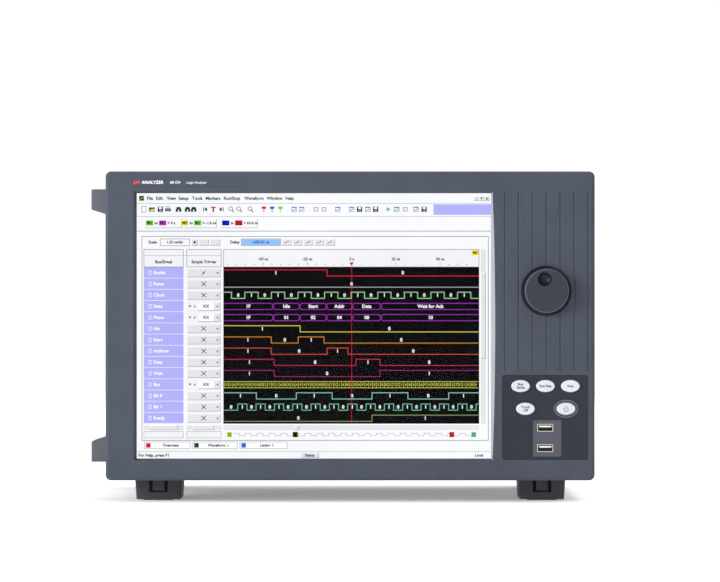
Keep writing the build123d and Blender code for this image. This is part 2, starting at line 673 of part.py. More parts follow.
def display_bracket():
    """Sheet frame that ties the display to the front frame."""
    outer = rect(CASE_X0 + 2, DISPLAY_X1 + BACKLIGHT_MARGIN_X + 1, CASE_Z0 + 4, CASE_Z1 - 4, 2)
    window = display_outline(-BRACKET_LAP, r=8.0)
    mid = (DISPLAY_X0 + DISPLAY_X1) / 2
    bar = rect(mid - BRACKET_BAR / 2, mid + BRACKET_BAR / 2, DISPLAY_Z0, DISPLAY_Z1)
    return front_prism(outer - (window - bar), BRACKET_Y0, FRONT_FRAME_Y0)


# ---------------------------------------------------------------- knob and keypad
def selector_knob():
    """Rotary knob, turned about y, with a finger dimple in its face."""
    back = WELL_DEPTH - KNOB_GAP
    profile = make_face(
        Polyline(
            (0, -KNOB_OUT),
            (KNOB_FACE_R, -KNOB_OUT),
            (KNOB_R, 0),
            (KNOB_R, back),
            (KNOB_RELIEF_R, back),
            (KNOB_RELIEF_R, back - KNOB_RELIEF),
            (0, back - KNOB_RELIEF),
            close=True,
        )
    )
    knob = revolve(profile, Axis.Y, 360)
    knob = fillet(knob.edges().group_by(Axis.Y)[0].sort_by(SortBy.LENGTH)[-1], KNOB_EDGE_R)
    sphere_r = (DIMPLE_R**2 + DIMPLE_DEPTH**2) / (2 * DIMPLE_DEPTH)
    turn = radians(DIMPLE_TURN)
    dimple = Pos(
        -DIMPLE_AT * sin(turn), -KNOB_OUT - sphere_r + DIMPLE_DEPTH, DIMPLE_AT * cos(turn)
    ) * Sphere(sphere_r)
    knob -= dimple
    knob -= rod_y(0, 0, SHAFT_R, -SHAFT_DEPTH_IN_KNOB, back)
    return Pos(KNOB_X, 0, KNOB_Z) * knob


def encoder_shaft():
    return rod_y(KNOB_X, KNOB_Z, SHAFT_R, -SHAFT_DEPTH_IN_KNOB, BOARD_Y - SHAFT_END_GAP)


def encoder_body():
    """Rotary encoder with its threaded bushing through the bezel."""
    half = ENCODER_SIDE / 2
    outline = rect(KNOB_X - half, KNOB_X + half, KNOB_Z - half, KNOB_Z + half, 1.0)
    body = front_prism(outline, WELL_SEAT, BOARD_Y)
    body += rod_y(KNOB_X, KNOB_Z, BUSHING_R, WELL_DEPTH - BUSHING_OUT, WELL_SEAT)
    bore_end = BOARD_Y - SHAFT_END_GAP + RUNNING
    return body - rod_y(KNOB_X, KNOB_Z, SHAFT_R + RUNNING, WELL_DEPTH - BUSHING_OUT, bore_end)


def encoder_nut():
    hexagon = Pos(KNOB_X, KNOB_Z) * (RegularPolygon(NUT_R, 6) - Circle(BUSHING_R))
    return front_prism(hexagon, WELL_DEPTH - NUT_T, WELL_DEPTH)


BUTTON_SPOTS = {
    "run_single_button": (TOP_ROW_X, TOP_ROW_Z),
    "run_repeat_button": (TOP_ROW_X + TOP_ROW_PITCH, TOP_ROW_Z),
    "stop_button": (TOP_ROW_X + 2 * TOP_ROW_PITCH, TOP_ROW_Z),
    "touch_lock_button": (TOUCH_LOCK_X, LOWER_ROW_Z),
    "power_button": (POWER_X, LOWER_ROW_Z),
}


def button_ellipse(name, margin=0.0):
    x, z = BUTTON_SPOTS[name]
    return Pos(KEYPAD_X0 + x, KEYPAD_Z0 + z) * Ellipse(BUTTON_W / 2 + margin, BUTTON_H / 2 + margin)


def push_button(name):
    """An oval key cap with a flange behind the plate and a stem on its dome."""
    face_y = KEYPAD_SINK - BUTTON_OUT
    flange_y = KEYPAD_Y1 + BUTTON_FLANGE_GAP
    cap = front_prism(button_ellipse(name), face_y, flange_y)
    cap = fillet(cap.faces().sort_by(Axis.Y)[0].edges(), BUTTON_CROWN)
    cap += front_prism(button_ellipse(name, BUTTON_FLANGE), flange_y, flange_y + BUTTON_FLANGE_T)
    x, z = BUTTON_SPOTS[name]
    stem = Pos(KEYPAD_X0 + x, KEYPAD_Z0 + z) * Ellipse(BUTTON_STEM_W / 2, BUTTON_STEM_H / 2)
    return cap + front_prism(stem, flange_y, BUTTON_STEM_END)


def power_ring_ellipse(margin=0.0):
    return button_ellipse("power_button", RING_MARGIN + margin)


def power_ring():
    ring = power_ring_ellipse() - button_ellipse("power_button", BUTTON_GAP)
    return front_prism(ring, KEYPAD_SINK - RING_PROUD, KEYPAD_Y1)


def usb_plate_outline(inset=0.0):
    x0 = KEYPAD_X0 + USB_PLATE_X + inset
    z0 = KEYPAD_Z0 + USB_PLATE_Z + inset
    return rect(x0, x0 + USB_PLATE_W - 2 * inset, z0, z0 + USB_PLATE_H - 2 * inset, 1.0)


def keypad_plate():
    plate = rect(
        KEYPAD_X0 + TRIM_FIT, KEYPAD_X1 - TRIM_FIT, KEYPAD_Z0 + TRIM_FIT, KEYPAD_Z1 - TRIM_FIT, KEYPAD_R
    )
    for name in BUTTON_SPOTS:
        plate -= button_ellipse(name, BUTTON_GAP)
    plate -= power_ring_ellipse(TRIM_FIT)
    plate -= usb_plate_outline()
    return front_prism(plate, KEYPAD_SINK, KEYPAD_Y1)


def keypad_mat():
    """Rubber sheet with one dome for each button, lying on the board."""
    dome_y = BUTTON_STEM_END + BUTTON_TRAVEL + DOME_GAP
    z0 = KEYPAD_Z0 + LOWER_ROW_Z - BUTTON_H
    outline = rect(KEYPAD_X0 + MAT_MARGIN, KEYPAD_X1 - MAT_MARGIN, z0, KEYPAD_Z1 - MAT_MARGIN, 2)
    sheet = front_prism(outline, BOARD_Y - MAT_T, BOARD_Y)
    for x, z in BUTTON_SPOTS.values():
        dome = Pos(KEYPAD_X0 + x, KEYPAD_Z0 + z) * Ellipse(BUTTON_STEM_W / 2 + 1, BUTTON_STEM_H / 2 + 1)
        sheet += front_prism(dome, dome_y, BOARD_Y - MAT_T)
    return sheet


def front_panel_board():
    """Circuit board behind the keypad and the encoder, notched round the two ports."""
    half = USB_W / 2 + TRIM_FIT
    x0 = KEYPAD_X0 + BOARD_MARGIN
    outline = rect(x0, KEYPAD_X1 - BOARD_MARGIN, KEYPAD_Z0 + BOARD_MARGIN, KNOB_Z + BOARD_ABOVE_KNOB, 2)
    for z in USB_ZS:
        outline -= rect(USB_X - half, USB_X + half, z - USB_H / 2 - TRIM_FIT, z + USB_H / 2 + TRIM_FIT)
    board = front_prism(outline, BOARD_Y, BOARD_Y + BOARD_T)
    chips = [(KNOB_X - 20, KNOB_Z - 36), (KNOB_X + 12, KNOB_Z - 40), (KNOB_X - 18, KNOB_Z + 12)]
    for x, z in chips:
        y0 = BOARD_Y + BOARD_T
        board += block(x, x + CHIP, y0, y0 + CHIP_T, z, z + CHIP)
    return board


# ---------------------------------------------------------------- ports of the serial bus
def usb_shell(x, z, y_mouth, inwards):
    """A folded port shell, its mouth at y_mouth, running inwards: 1 is back, -1 is forwards."""
    outer = Pos(x, z) * RectangleRounded(USB_W, USB_H, 0.6)
    inner = Pos(x, z) * RectangleRounded(USB_W - 2 * USB_WALL, USB_H - 2 * USB_WALL, 0.3)
    lip = Pos(x, z) * RectangleRounded(USB_W + 2 * USB_LIP, USB_H + 2 * USB_LIP, 0.8)
    shell = front_prism(outer, *sorted((y_mouth, y_mouth + inwards * USB_DEPTH)))
    shell += front_prism(lip, *sorted((y_mouth, y_mouth - inwards * USB_LIP_T)))
    hollow = sorted((y_mouth - inwards * USB_LIP_T, y_mouth + inwards * (USB_DEPTH - USB_WALL)))
    return shell - front_prism(inner, *hollow)


def usb_tongue(x, z, y_mouth, inwards):
    """The contact tongue inside a port shell, on its rear wall."""
    top = z + USB_H / 2 - USB_WALL - TONGUE_ABOVE
    y0 = y_mouth + inwards * TONGUE_BACK
    y1 = y_mouth + inwards * (USB_DEPTH - USB_WALL)
    return block(x - TONGUE_W / 2, x + TONGUE_W / 2, *sorted((y0, y1)), top - TONGUE_T, top)


def usb_spots():
    """Mouth centre, mouth plane and direction of every port: two in front, four at the rear."""
    front = [(USB_X, z, KEYPAD_SINK - USB_PLATE_PROUD, 1) for z in USB_ZS]
    xs = [IO_X + USB_STACK_X + i * USB_STACK_PITCH for i in range(2)]
    zs = [MOTHER_TOP + USB_H / 2 + j * USB_STACK_STEP for j in range(2)]
    return front + [(x, z, IO_Y1, -1) for x in xs for z in zs]


def usb_shells():
    return group([usb_shell(*spot) for spot in usb_spots()])


def usb_tongues():
    return group([usb_tongue(*spot) for spot in usb_spots()])


def usb_plate():
    plate = usb_plate_outline(TRIM_FIT)
    for z in USB_ZS:
        plate -= Pos(USB_X, z) * RectangleRounded(USB_W + 2 * TRIM_FIT, USB_H + 2 * TRIM_FIT, 0.6)
    return front_prism(plate, KEYPAD_SINK - USB_PLATE_PROUD, KEYPAD_Y1)


# ---------------------------------------------------------------- case
def frame_ring(y0, y1):
    outer = rect(CASE_X0, CASE_X1, CASE_Z0, CASE_Z1, CASE_R)
    inner = rect(CASE_X0 + FRAME_T, CASE_X1 - FRAME_T, CASE_Z0 + FRAME_T, CASE_Z1 - FRAME_T, 3)
    return front_prism(outer - inner, y0, y1)


def front_frame():
    return frame_ring(FRONT_FRAME_Y0, FRONT_FRAME_Y1)


def rear_frame():
    body = frame_ring(REAR_FRAME_Y0, PANEL_Y0)
    return body - group([screw_hole(x, z, CASE_BACK) for x, z in PANEL_SCREWS + rear_corner_spots()])


def rail_profile():
    """Section of the lower left corner rail, its outer corner at the origin."""
    seat = COVER_T + 0.1
    profile = rect(0, RAIL, 0, RAIL) - rect(RAIL_T, RAIL, RAIL_T, RAIL)
    profile -= rect(RAIL - RAIL_LAP, RAIL, 0, seat)
    profile -= rect(0, seat, RAIL - RAIL_LAP, RAIL)
    return fillet(profile.vertices().sort_by_distance((0, 0, 0))[0], CASE_R)


def corner_rails():
    lower_left = rail_profile()
    lower_right = mirror(lower_left, about=Plane.YZ)
    upper_left = mirror(lower_left, about=Plane.XZ)
    upper_right = mirror(lower_right, about=Plane.XZ)
    spots = [
        (CASE_X0, CASE_Z0, lower_left),
        (CASE_X1, CASE_Z0, lower_right),
        (CASE_X0, CASE_Z1, upper_left),
        (CASE_X1, CASE_Z1, upper_right),
    ]
    return group([front_prism(Pos(x, z) * p, FRONT_FRAME_Y1, REAR_FRAME_Y0) for x, z, p in spots])


def top_cover():
    return block(CASE_X0 + COVER_IN, CASE_X1 - COVER_IN, COVER_Y0, COVER_Y1, CASE_Z1 - COVER_T, CASE_Z1)


def bottom_cover():
    plate = rect(CASE_X0 + COVER_IN, CASE_X1 - COVER_IN, COVER_Y0, COVER_Y1)
    columns = int((BEZEL_W - 4 * FOOT_SIDE) / VENT_PITCH)
    first = BEZEL_W / 2 - (columns - 1) * VENT_PITCH / 2
    vents = slots(first, (COVER_Y0 + COVER_Y1) / 2 - VENT_ROW / 2, columns, 2)
    return top_prism(plate - vents, CASE_Z0, CASE_Z0 + COVER_T)


def side_cover_plate(vents):
    """Side view of a side cover, less its vents."""
    return rect(COVER_Y0, COVER_Y1, CASE_Z0 + COVER_IN, CASE_Z1 - COVER_IN) - vents


def left_side_cover():
    vents = slots(VENT_FIRST, MID_Z - VENT_ROW, VENT_COLUMNS, 3)
    plate = side_prism(side_cover_plate(vents), CASE_X0, CASE_X0 + COVER_T)
    return plate - group([screw_hole_x(y, z, -SIDE_FOOT_OUT, 1) for y, z in SIDE_FOOT_SPOTS])


def right_side_cover():
    offset = HANDLE_W / 2 + VENT_ROW / 2 + 6
    vents = slots(VENT_FIRST, MID_Z - offset - VENT_ROW, VENT_COLUMNS, 2)
    vents += slots(VENT_FIRST, MID_Z + offset, VENT_COLUMNS, 2)
    plate = side_prism(side_cover_plate(vents), CASE_X1 - COVER_T, CASE_X1)
    return plate - group([screw_hole_x(y, z, BEZEL_W + HANDLE_OUT, -1) for y, z in HANDLE_SCREWS])


# ---------------------------------------------------------------- screws
def rear_corner_spots():
    edge = REAR_CORNER_INSET + REAR_CORNER / 2
    return [(x, z) for x in (CASE_X0 + edge, CASE_X1 - edge) for z in (CASE_Z0 + edge, CASE_Z1 - edge)]


def screw():
    """A pan-head screw along y, its head's underside at y = 0 and its shank in front of it."""
    head = rod_y(0, 0, SCREW_HEAD_R, 0, SCREW_HEAD_T)
    head = fillet(head.faces().sort_by(Axis.Y)[-1].edges(), SCREW_HEAD_T * 0.45)
    head -= front_prism(RegularPolygon(SOCKET_R, 6), SCREW_HEAD_T * 0.4, SCREW_HEAD_T)
    return head + rod_y(0, 0, SCREW_R, -SCREW_L, 0)


def screw_hole(x, z, y_seat, depth=SCREW_L + 0.5):
    """Clearance for the shank of a screw whose head sits at y_seat."""
    return rod_y(x, z, SCREW_R + SCREW_HOLE, y_seat - depth, y_seat)


def screw_hole_x(y, z, x_face, inwards):
    """Clearance along x for a shank in a side foot or handle cap whose outer face is at x_face."""
    reach = CASE_SIDE_INSET + SIDE_FOOT_OUT + SCREW_L
    ends = sorted((x_face, x_face + inwards * reach))
    return side_prism(Pos(y, z) * Circle(SCREW_R + SCREW_HOLE), *ends)


def counterbore_x(y, z, x_face, inwards, depth):
    """Clearance along x for a screw's head."""
    ends = sorted((x_face, x_face + inwards * depth))
    return side_prism(Pos(y, z) * Circle(SCREW_HEAD_R + 0.5), *ends)


def case_screws():
    """Every screw that shows on the case, with its head outwards."""
    rear = [Pos(x, CASE_BACK, z) * screw() for x, z in PANEL_SCREWS]
    rear += [Pos(x, CASE_BACK + SCREW_SINK, z) * screw() for x, z in rear_corner_spots()]
    left = [Pos(CASE_X0 - SCREW_SINK, y, z) * Rot(0, 0, 90) * screw() for y, z in SIDE_FOOT_SPOTS]
    seat = CASE_X1 + SCREW_SINK
    right = [Pos(seat, y, z) * Rot(0, 0, -90) * screw() for y, z in HANDLE_SCREWS]
    guard_seat = CASE_BACK + GUARD_T
    fans = [Pos(x + dx, guard_seat, FAN_Z + dz) * screw() for x in FAN_XS for dx, dz in fan_bolts()]
    return group(rear + left + right + fans)


# ---------------------------------------------------------------- feet and handle
def foot_block(width):
    """A tapering foot from y = 0 back, its top on the case and a pad's depth above the floor."""
    top = Pos(0, FOOT_L / 2) * RectangleRounded(width, FOOT_L, FOOT_R)
    return extrude(Plane.XY.offset(CASE_Z0) * top, CASE_Z0 - PAD_OUT, dir=(0, 0, -1), taper=FOOT_TAPER)


def latch_window():
    """The slots round the snap latch in a foot's front wall."""
    window = rect(-LATCH_W / 2, LATCH_W / 2, LATCH_Z, LATCH_Z + LATCH_H)
    tab = rect(-LATCH_TAB_W / 2, LATCH_TAB_W / 2, LATCH_Z + LATCH_TAB_RISE, LATCH_Z + LATCH_H)
    return front_prism(window, 0, LATCH_DEPTH) - front_prism(tab, LATCH_TAB_Y, LATCH_TAB_Y + LATCH_TAB_T)


def pad_outline(front):
    """Plan of a foot's rubber pad, from the foot's front."""
    return rect(-13, 13, 3.2, 8.2, 1) if front else rect(-15, 15, 14, 46, 3)


def foot(front):
    body = foot_block(FOOT_W if front else REAR_FOOT_W)
    body -= latch_window()
    body -= top_prism(pad_outline(front), PAD_OUT, PAD_T)
    if front:
        body -= block(-CHANNEL_W / 2, CHANNEL_W / 2, STAND_Y - CHANNEL_FRONT, FOOT_L, 0, CHANNEL_TOP)
        half = STAND_W / 2 + STAND_PIN + 0.5
        body -= side_prism(Pos(STAND_Y, STAND_Z) * Circle(STAND_R + RUNNING), -half, half)
    return body


def front_feet():
    return group([Pos(x, FRONT_FOOT_Y, 0) * foot(True) for x in FOOT_XS])


def rear_feet():
    return group([Pos(x, REAR_FOOT_Y, 0) * foot(False) for x in REAR_FOOT_XS])


def foot_pads():
    pads = [Pos(x, FRONT_FOOT_Y, 0) * top_prism(pad_outline(True), 0, PAD_T) for x in FOOT_XS]
    pads += [Pos(x, REAR_FOOT_Y, 0) * top_prism(pad_outline(False), 0, PAD_T) for x in REAR_FOOT_XS]
    return group(pads)


def tilt_stand(x):
    """A bent wire, folded back under the case, with its two ends in the foot's walls."""
    half = STAND_W / 2
    y0 = STAND_Y
    y1 = STAND_Y + STAND_L
    end = half + STAND_PIN
    path = FilletPolyline(
        (-end, y0, STAND_Z),
        (-half, y0, STAND_Z),
        (-half, y1, STAND_Z),
        (half, y1, STAND_Z),
        (half, y0, STAND_Z),
        (end, y0, STAND_Z),
        radius=(STAND_R * 1.05, 5.0, 5.0, STAND_R * 1.05),
    )
    wire = sweep(Plane(origin=path @ 0, z_dir=path % 0) * Circle(STAND_R), path=path)
    return Pos(x, FRONT_FOOT_Y, 0) * wire


def side_foot_profile():
    """Front view of an upper side foot: square at the top, sloping below."""
    z1 = BEZEL_Z1 - SIDE_FOOT_EDGE
    z0 = z1 - SIDE_FOOT_H
    x0 = -SIDE_FOOT_OUT
    return make_face(
        Polyline((x0, z0), (x0, z1), (CASE_X0, z1), (CASE_X0, z0 - SIDE_FOOT_SLOPE), close=True)
    )


def side_feet():
    """Four feet on the left side, for standing the instrument with its handle up."""
    feet = []
    for y in SIDE_FOOT_YS:
        upper = front_prism(side_foot_profile(), y - SIDE_FOOT_L / 2, y + SIDE_FOOT_L / 2)
        upper = fillet(upper.faces().sort_by(Axis.X)[0].edges(), SIDE_FOOT_R)
        z = BEZEL_Z1 - SIDE_FOOT_Z
        upper -= screw_hole_x(y, z, -SIDE_FOOT_OUT, 1)
        upper -= counterbore_x(y, z, -SIDE_FOOT_OUT, 1, SIDE_COUNTERBORE)
        feet += [upper, mirror(upper, about=Plane.XY.offset((BEZEL_Z0 + BEZEL_Z1) / 2))]
    return group(feet)


def rear_corner_feet():
    """Four posts on the rear panel, for standing the instrument on its back."""
    half = REAR_CORNER / 2
    feet = []
    for x, z in rear_corner_spots():
        outline = rect(x - half, x + half, z - half, z + half, REAR_CORNER_R)
        post = front_prism(outline, CASE_BACK, CASE_BACK + REAR_FOOT_OUT)
        post = chamfer(post.faces().sort_by(Axis.Y)[-1].edges(), REAR_CORNER_CHAMFER)
        post -= screw_hole(x, z, CASE_BACK + SCREW_SINK)
        post -= rod_y(x, z, SCREW_HEAD_R + 0.5, CASE_BACK + SCREW_SINK, CASE_BACK + REAR_FOOT_OUT)
        feet.append(post)
    return group(feet)


def handle_caps():
    """Two end caps on the right side, each with a pocket for the end of the strap."""
    x1 = BEZEL_W + HANDLE_OUT
    caps = []
    for side in (-1, 1):
        outer = HANDLE_Y + side * HANDLE_L / 2
        inner = outer - side * HANDLE_CAP_L
        y0, y1 = sorted((outer, inner))
        cap = side_prism(rect(y0, y1, MID_Z - HANDLE_W / 2, MID_Z + HANDLE_W / 2, 5), CASE_X1, x1)
        cap = fillet(cap.faces().sort_by(Axis.X)[-1].edges(), 2.0)
        pocket_y = sorted((inner, inner + side * (STRAP_IN_CAP + STRAP_GAP)))
        half = STRAP_W / 2 + STRAP_GAP
        pocket_x = x1 - STRAP_SINK - STRAP_T - STRAP_GAP
        cap -= block(pocket_x, x1, *pocket_y, MID_Z - half, MID_Z + half)
        y = outer - side * HANDLE_SCREW_IN
        cap -= screw_hole_x(y, MID_Z, x1, -1)
        cap -= counterbore_x(y, MID_Z, x1, -1, x1 - CASE_X1 - SCREW_SINK)
        caps.append(cap)
    return group(caps)


def handle_strap():
    x1 = BEZEL_W + HANDLE_OUT - STRAP_SINK
    half = HANDLE_L / 2 - HANDLE_CAP_L + STRAP_IN_CAP
    outline = rect(HANDLE_Y - half, HANDLE_Y + half, MID_Z - STRAP_W / 2, MID_Z + STRAP_W / 2, 3)
    strap = side_prism(outline, x1 - STRAP_T, x1)
    return fillet(strap.faces().sort_by(Axis.X)[-1].edges(), 1.2)


# ---------------------------------------------------------------- rear panel and its connectors
def d_outline(x, z, width, height):
    """A trapezium with rounded corners, wider above."""
    slope = height * 0.16
    points = [
        (x - width / 2, z + height / 2),
        (x + width / 2, z + height / 2),
        (x + width / 2 - slope, z - height / 2),
        (x - width / 2 + slope, z - height / 2),
    ]
    sketch = make_face(Polyline(*points, close=True))
    return fillet(sketch.vertices(), min(width, height) * 0.18)


def rear_panel():
    inset = PANEL_INSET
    outline = rect(CASE_X0 + inset, CASE_X1 - inset, CASE_Z0 + inset, CASE_Z1 - inset, 3)
    ix, iz = INLET_X, INLET_CZ
    body_w = INLET_BODY_W / 2 + TRIM_FIT
    body_h = INLET_BODY_H / 2 + TRIM_FIT
    outline -= rect(ix - body_w, ix + body_w, iz - body_h, iz + body_h)
    lap_x, lap_z = IO_LAP
    outline -= rect(IO_X + lap_x, IO_X + IO_W - lap_x, IO_Z0 + lap_z, IO_Z0 + IO_H - lap_z)
    for x in FAN_XS:
        outline -= Pos(x, FAN_Z) * Circle(FAN_DUCT_R)
        outline -= [Pos(x + dx, FAN_Z + dz) * Circle(SCREW_R + SCREW_HOLE) for dx, dz in fan_bolts()]
    for x in POD_XS:
        outline -= d_outline(x, POD_Z, POD_W + 2 * POD_FIT, POD_H + 2 * POD_FIT)
    for x in BNC_XS:
        outline -= Pos(x, BEZEL_Z0 + BNC_Z) * Circle(BNC_THREAD_R + TRIM_FIT)
    vent_x = INLET_X - VENT_FROM_INLET
    outline -= slots(vent_x, INLET_CZ + VENT_ABOVE_INLET, REAR_VENT_COLUMNS, 1)
    outline -= slots(vent_x, FAN_Z - REAR_VENT_DROP, REAR_VENT_COLUMNS, 2)
    plate = front_prism(outline, PANEL_Y0, CASE_BACK)
    return plate - group([screw_hole(x, z, CASE_BACK) for x, z in PANEL_SCREWS + rear_corner_spots()])


def inlet_outline(width, height):
    """The appliance inlet's section: its two upper corners are cut off."""
    x, z = INLET_X, INLET_CZ
    cut = height * INLET_CUT
    half_w = width / 2
    half_h = height / 2
    return make_face(
        Polyline(
            (x - half_w, z - half_h),
            (x + half_w, z - half_h),
            (x + half_w, z + half_h - cut),
            (x + half_w - cut, z + half_h),
            (x - half_w + cut, z + half_h),
            (x - half_w, z + half_h - cut),
            close=True,
        )
    )


def inlet_pin_spots():
    x, z = INLET_X, INLET_CZ
    return [(x - PIN_SIDE, z - PIN_LIVE_DROP), (x + PIN_SIDE, z - PIN_LIVE_DROP), (x, z + PIN_EARTH_RISE)]


def inlet_pins():
    back = CASE_BACK + INLET_FLANGE_T
    y1 = back - INLET_CAVITY_D + PIN_L
    y0 = PANEL_Y0 - INLET_BODY_D - PIN_TAIL
    pin = Box(PIN_W, y1 - y0, PIN_H)
    return group([Pos(x, (y0 + y1) / 2, z) * pin for x, z in inlet_pin_spots()])


def power_inlet():
    """The mains inlet: flange outside the panel, body through it, and a cavity round three pins."""
    x, z = INLET_X, INLET_CZ
    back = CASE_BACK + INLET_FLANGE_T
    flange = Pos(x, z) * RectangleRounded(INLET_FLANGE_W, INLET_FLANGE_H, INLET_CORNER_R)
    body = front_prism(flange, CASE_BACK, back)
    body = fillet(body.faces().sort_by(Axis.Y)[-1].edges(), INLET_EDGE_R)
    section = Pos(x, z) * Rectangle(INLET_BODY_W, INLET_BODY_H)
    body += front_prism(section, PANEL_Y0 - INLET_BODY_D, CASE_BACK)
    body -= front_prism(inlet_outline(INLET_CAVITY_W, INLET_CAVITY_H), back - INLET_CAVITY_D, back)
    return body - inlet_pins()


def pod_socket_shells():
    """Shells of the probe pod sockets: a flange inside the panel and a D-shaped collar through it."""
    shells = []
    for x in POD_XS:
        collar = d_outline(x, POD_Z, POD_W, POD_H)
        hollow = d_outline(x, POD_Z, POD_W - 2 * POD_WALL, POD_H - 2 * POD_WALL)
        shell = front_prism(collar, PANEL_Y0 - POD_D, CASE_BACK + POD_OUT)
        flange = Pos(x, POD_Z) * RectangleRounded(POD_W + 2 * POD_FLANGE, POD_H + POD_FLANGE, 1)
        shell += front_prism(flange, PANEL_Y0 - POD_FLANGE_T, PANEL_Y0)
        shells.append(shell - front_prism(hollow, PANEL_Y0 - POD_D + POD_FLOOR, CASE_BACK + POD_OUT))
    return group(shells)


def bnc_jacks():
    """Coaxial jacks: barrel with two bayonet lugs, hexagon outside the panel and thread through it."""
    z = BEZEL_Z0 + BNC_Z
    jacks = []
    for x in BNC_XS:
        jack = rod_y(x, z, BNC_R, CASE_BACK + BNC_HEX_T, CASE_BACK + BNC_OUT)
        jack += front_prism(Pos(x, z) * RegularPolygon(BNC_HEX_R, 6), CASE_BACK, CASE_BACK + BNC_HEX_T)
        jack += rod_y(x, z, BNC_THREAD_R, PANEL_Y0 - BNC_IN, CASE_BACK)
        lug = BNC_R + BNC_LUG_OUT
        lug_section = Pos(CASE_BACK + BNC_OUT - BNC_LUG_BACK, z) * Circle(BNC_LUG_R)
        jack += side_prism(lug_section, x - lug, x + lug)
        jack -= rod_y(x, z, BNC_BORE_R, PANEL_Y0 - BNC_IN, CASE_BACK + BNC_OUT)
        jacks.append(jack)
    return group(jacks)


def connector_inserts():
    """Insulators: a contact tongue in each pod socket and a dielectric with its pin in each jack."""
    inserts = []
    for x in POD_XS:
        half = POD_W / 2 - POD_WALL - POD_TONGUE_IN
        y0 = PANEL_Y0 - POD_D + POD_FLOOR
        y1 = CASE_BACK + POD_OUT - POD_TONGUE_BACK
        z0 = POD_Z - POD_TONGUE_T / 2
        inserts.append(block(x - half, x + half, y0, y1, z0, z0 + POD_TONGUE_T))
    z = BEZEL_Z0 + BNC_Z
    for x in BNC_XS:
        tip = CASE_BACK + BNC_OUT - BNC_CORE_BACK
        core = rod_y(x, z, BNC_BORE_R, PANEL_Y0 - BNC_IN, CASE_BACK)
        core += rod_y(x, z, BNC_CORE_R, CASE_BACK, tip)
        inserts.append(core - rod_y(x, z, BNC_PIN_R, CASE_BACK, tip))
    return group(inserts)


def io_shield():
    """Stamped plate over the processor board's ports."""
    plate = rect(IO_X, IO_X + IO_W, IO_Z0, IO_Z0 + IO_H, 2)
    for x, z, _, inwards in usb_spots():
        if inwards < 0:
            plate -= Pos(x, z) * RectangleRounded(USB_W + 2 * TRIM_FIT, USB_H + 2 * TRIM_FIT, 0.6)
    half = LAN_W / 2 + TRIM_FIT
    plate -= rect(LAN_CX - half, LAN_CX + half, LAN_Z - LAN_H / 2 - TRIM_FIT, LAN_Z + LAN_H / 2 + TRIM_FIT)
    for x in DSUB_XS:
        plate -= d_outline(x, DSUB_Z, DSUB_W + 1.0, DSUB_H + 1.0)
        plate -= [Pos(x + s * JACKSCREW_SIDE, DSUB_Z) * Circle(JACKSCREW_R + 0.3) for s in (-1, 1)]
    for i in range(AUDIO_COUNT):
        plate -= Pos(IO_X + AUDIO_X + AUDIO_PITCH * i, IO_Z0 + IO_H - AUDIO_BELOW) * Circle(AUDIO_R)
    return front_prism(plate, CASE_BACK, IO_Y1)


def lan_socket():
    """Network socket with its latch notch below."""
    half = LAN_W / 2
    y1 = IO_Y1 + LAN_OUT
    body = block(LAN_CX - half, LAN_CX + half, y1 - LAN_D, y1, LAN_Z - LAN_H / 2, LAN_Z + LAN_H / 2)
    half = LAN_CAVITY_W / 2
    z0 = LAN_Z - LAN_CAVITY_H / 2 + LAN_CAVITY_LIFT
    body -= block(LAN_CX - half, LAN_CX + half, y1 - LAN_CAVITY_D, y1, z0, z0 + LAN_CAVITY_H)
    half = LAN_NOTCH_W / 2
    return body - block(LAN_CX - half, LAN_CX + half, y1 - LAN_CAVITY_D, y1, z0 - LAN_NOTCH_H, z0)


def dsub_ports():
    """Video and serial ports: D-shaped collars on a flange, with two jackscrews each."""
    ports = []
    for x in DSUB_XS:
        flange = Pos(x, DSUB_Z) * RectangleRounded(DSUB_FLANGE_W, DSUB_FLANGE_H, 1)
        port = front_prism(flange, CASE_BACK - DSUB_BODY_D, CASE_BACK - 0.2)
        port += front_prism(d_outline(x, DSUB_Z, DSUB_W, DSUB_H), CASE_BACK - 0.2, IO_Y1 + DSUB_OUT)
        for side in (-1, 1):
            hexagon = Pos(x + side * JACKSCREW_SIDE, DSUB_Z) * RegularPolygon(JACKSCREW_R, 6)
            port += front_prism(hexagon, CASE_BACK - 0.2, IO_Y1 + DSUB_OUT)
        ports.append(port)
    return ports


def rear_ports():
    return group([lan_socket(), *dsub_ports()])


# ---------------------------------------------------------------- fans
def fan_bolts():
    half = FAN_BOLT / 2
    return [(dx, dz) for dx in (-half, half) for dz in (-half, half)]


def fan_frame(x):
    """A square duct with a motor plate on four struts at its inner end."""
    half = FAN / 2
    y1 = FAN_Y0 + FAN_D
    outline = rect(x - half, x + half, FAN_Z - half, FAN_Z + half, FAN_CORNER_R)
    body = front_prism(outline, FAN_Y0, y1)
    body -= rod_y(x, FAN_Z, FAN_DUCT_R, FAN_Y0, y1)
    strut_y1 = FAN_Y0 + FAN_STRUT_T
    body += rod_y(x, FAN_Z, FAN_HUB_R, FAN_Y0, strut_y1)
    strut = rect(-FAN_DUCT_R - 1, -FAN_HUB_R + 1, -FAN_STRUT_W / 2, FAN_STRUT_W / 2)
    for i in range(4):
        body += front_prism(Pos(x, FAN_Z) * Rot(0, 0, 45 + 90 * i) * strut, FAN_Y0, strut_y1)
    body += rod_y(x, FAN_Z, FAN_SPINDLE_R, strut_y1, strut_y1 + FAN_SPINDLE_L)
    holes = [rod_y(x + dx, FAN_Z + dz, SCREW_R + SCREW_HOLE, y1 - FAN_BOLT_L, y1) for dx, dz in fan_bolts()]
    return body - group(holes)


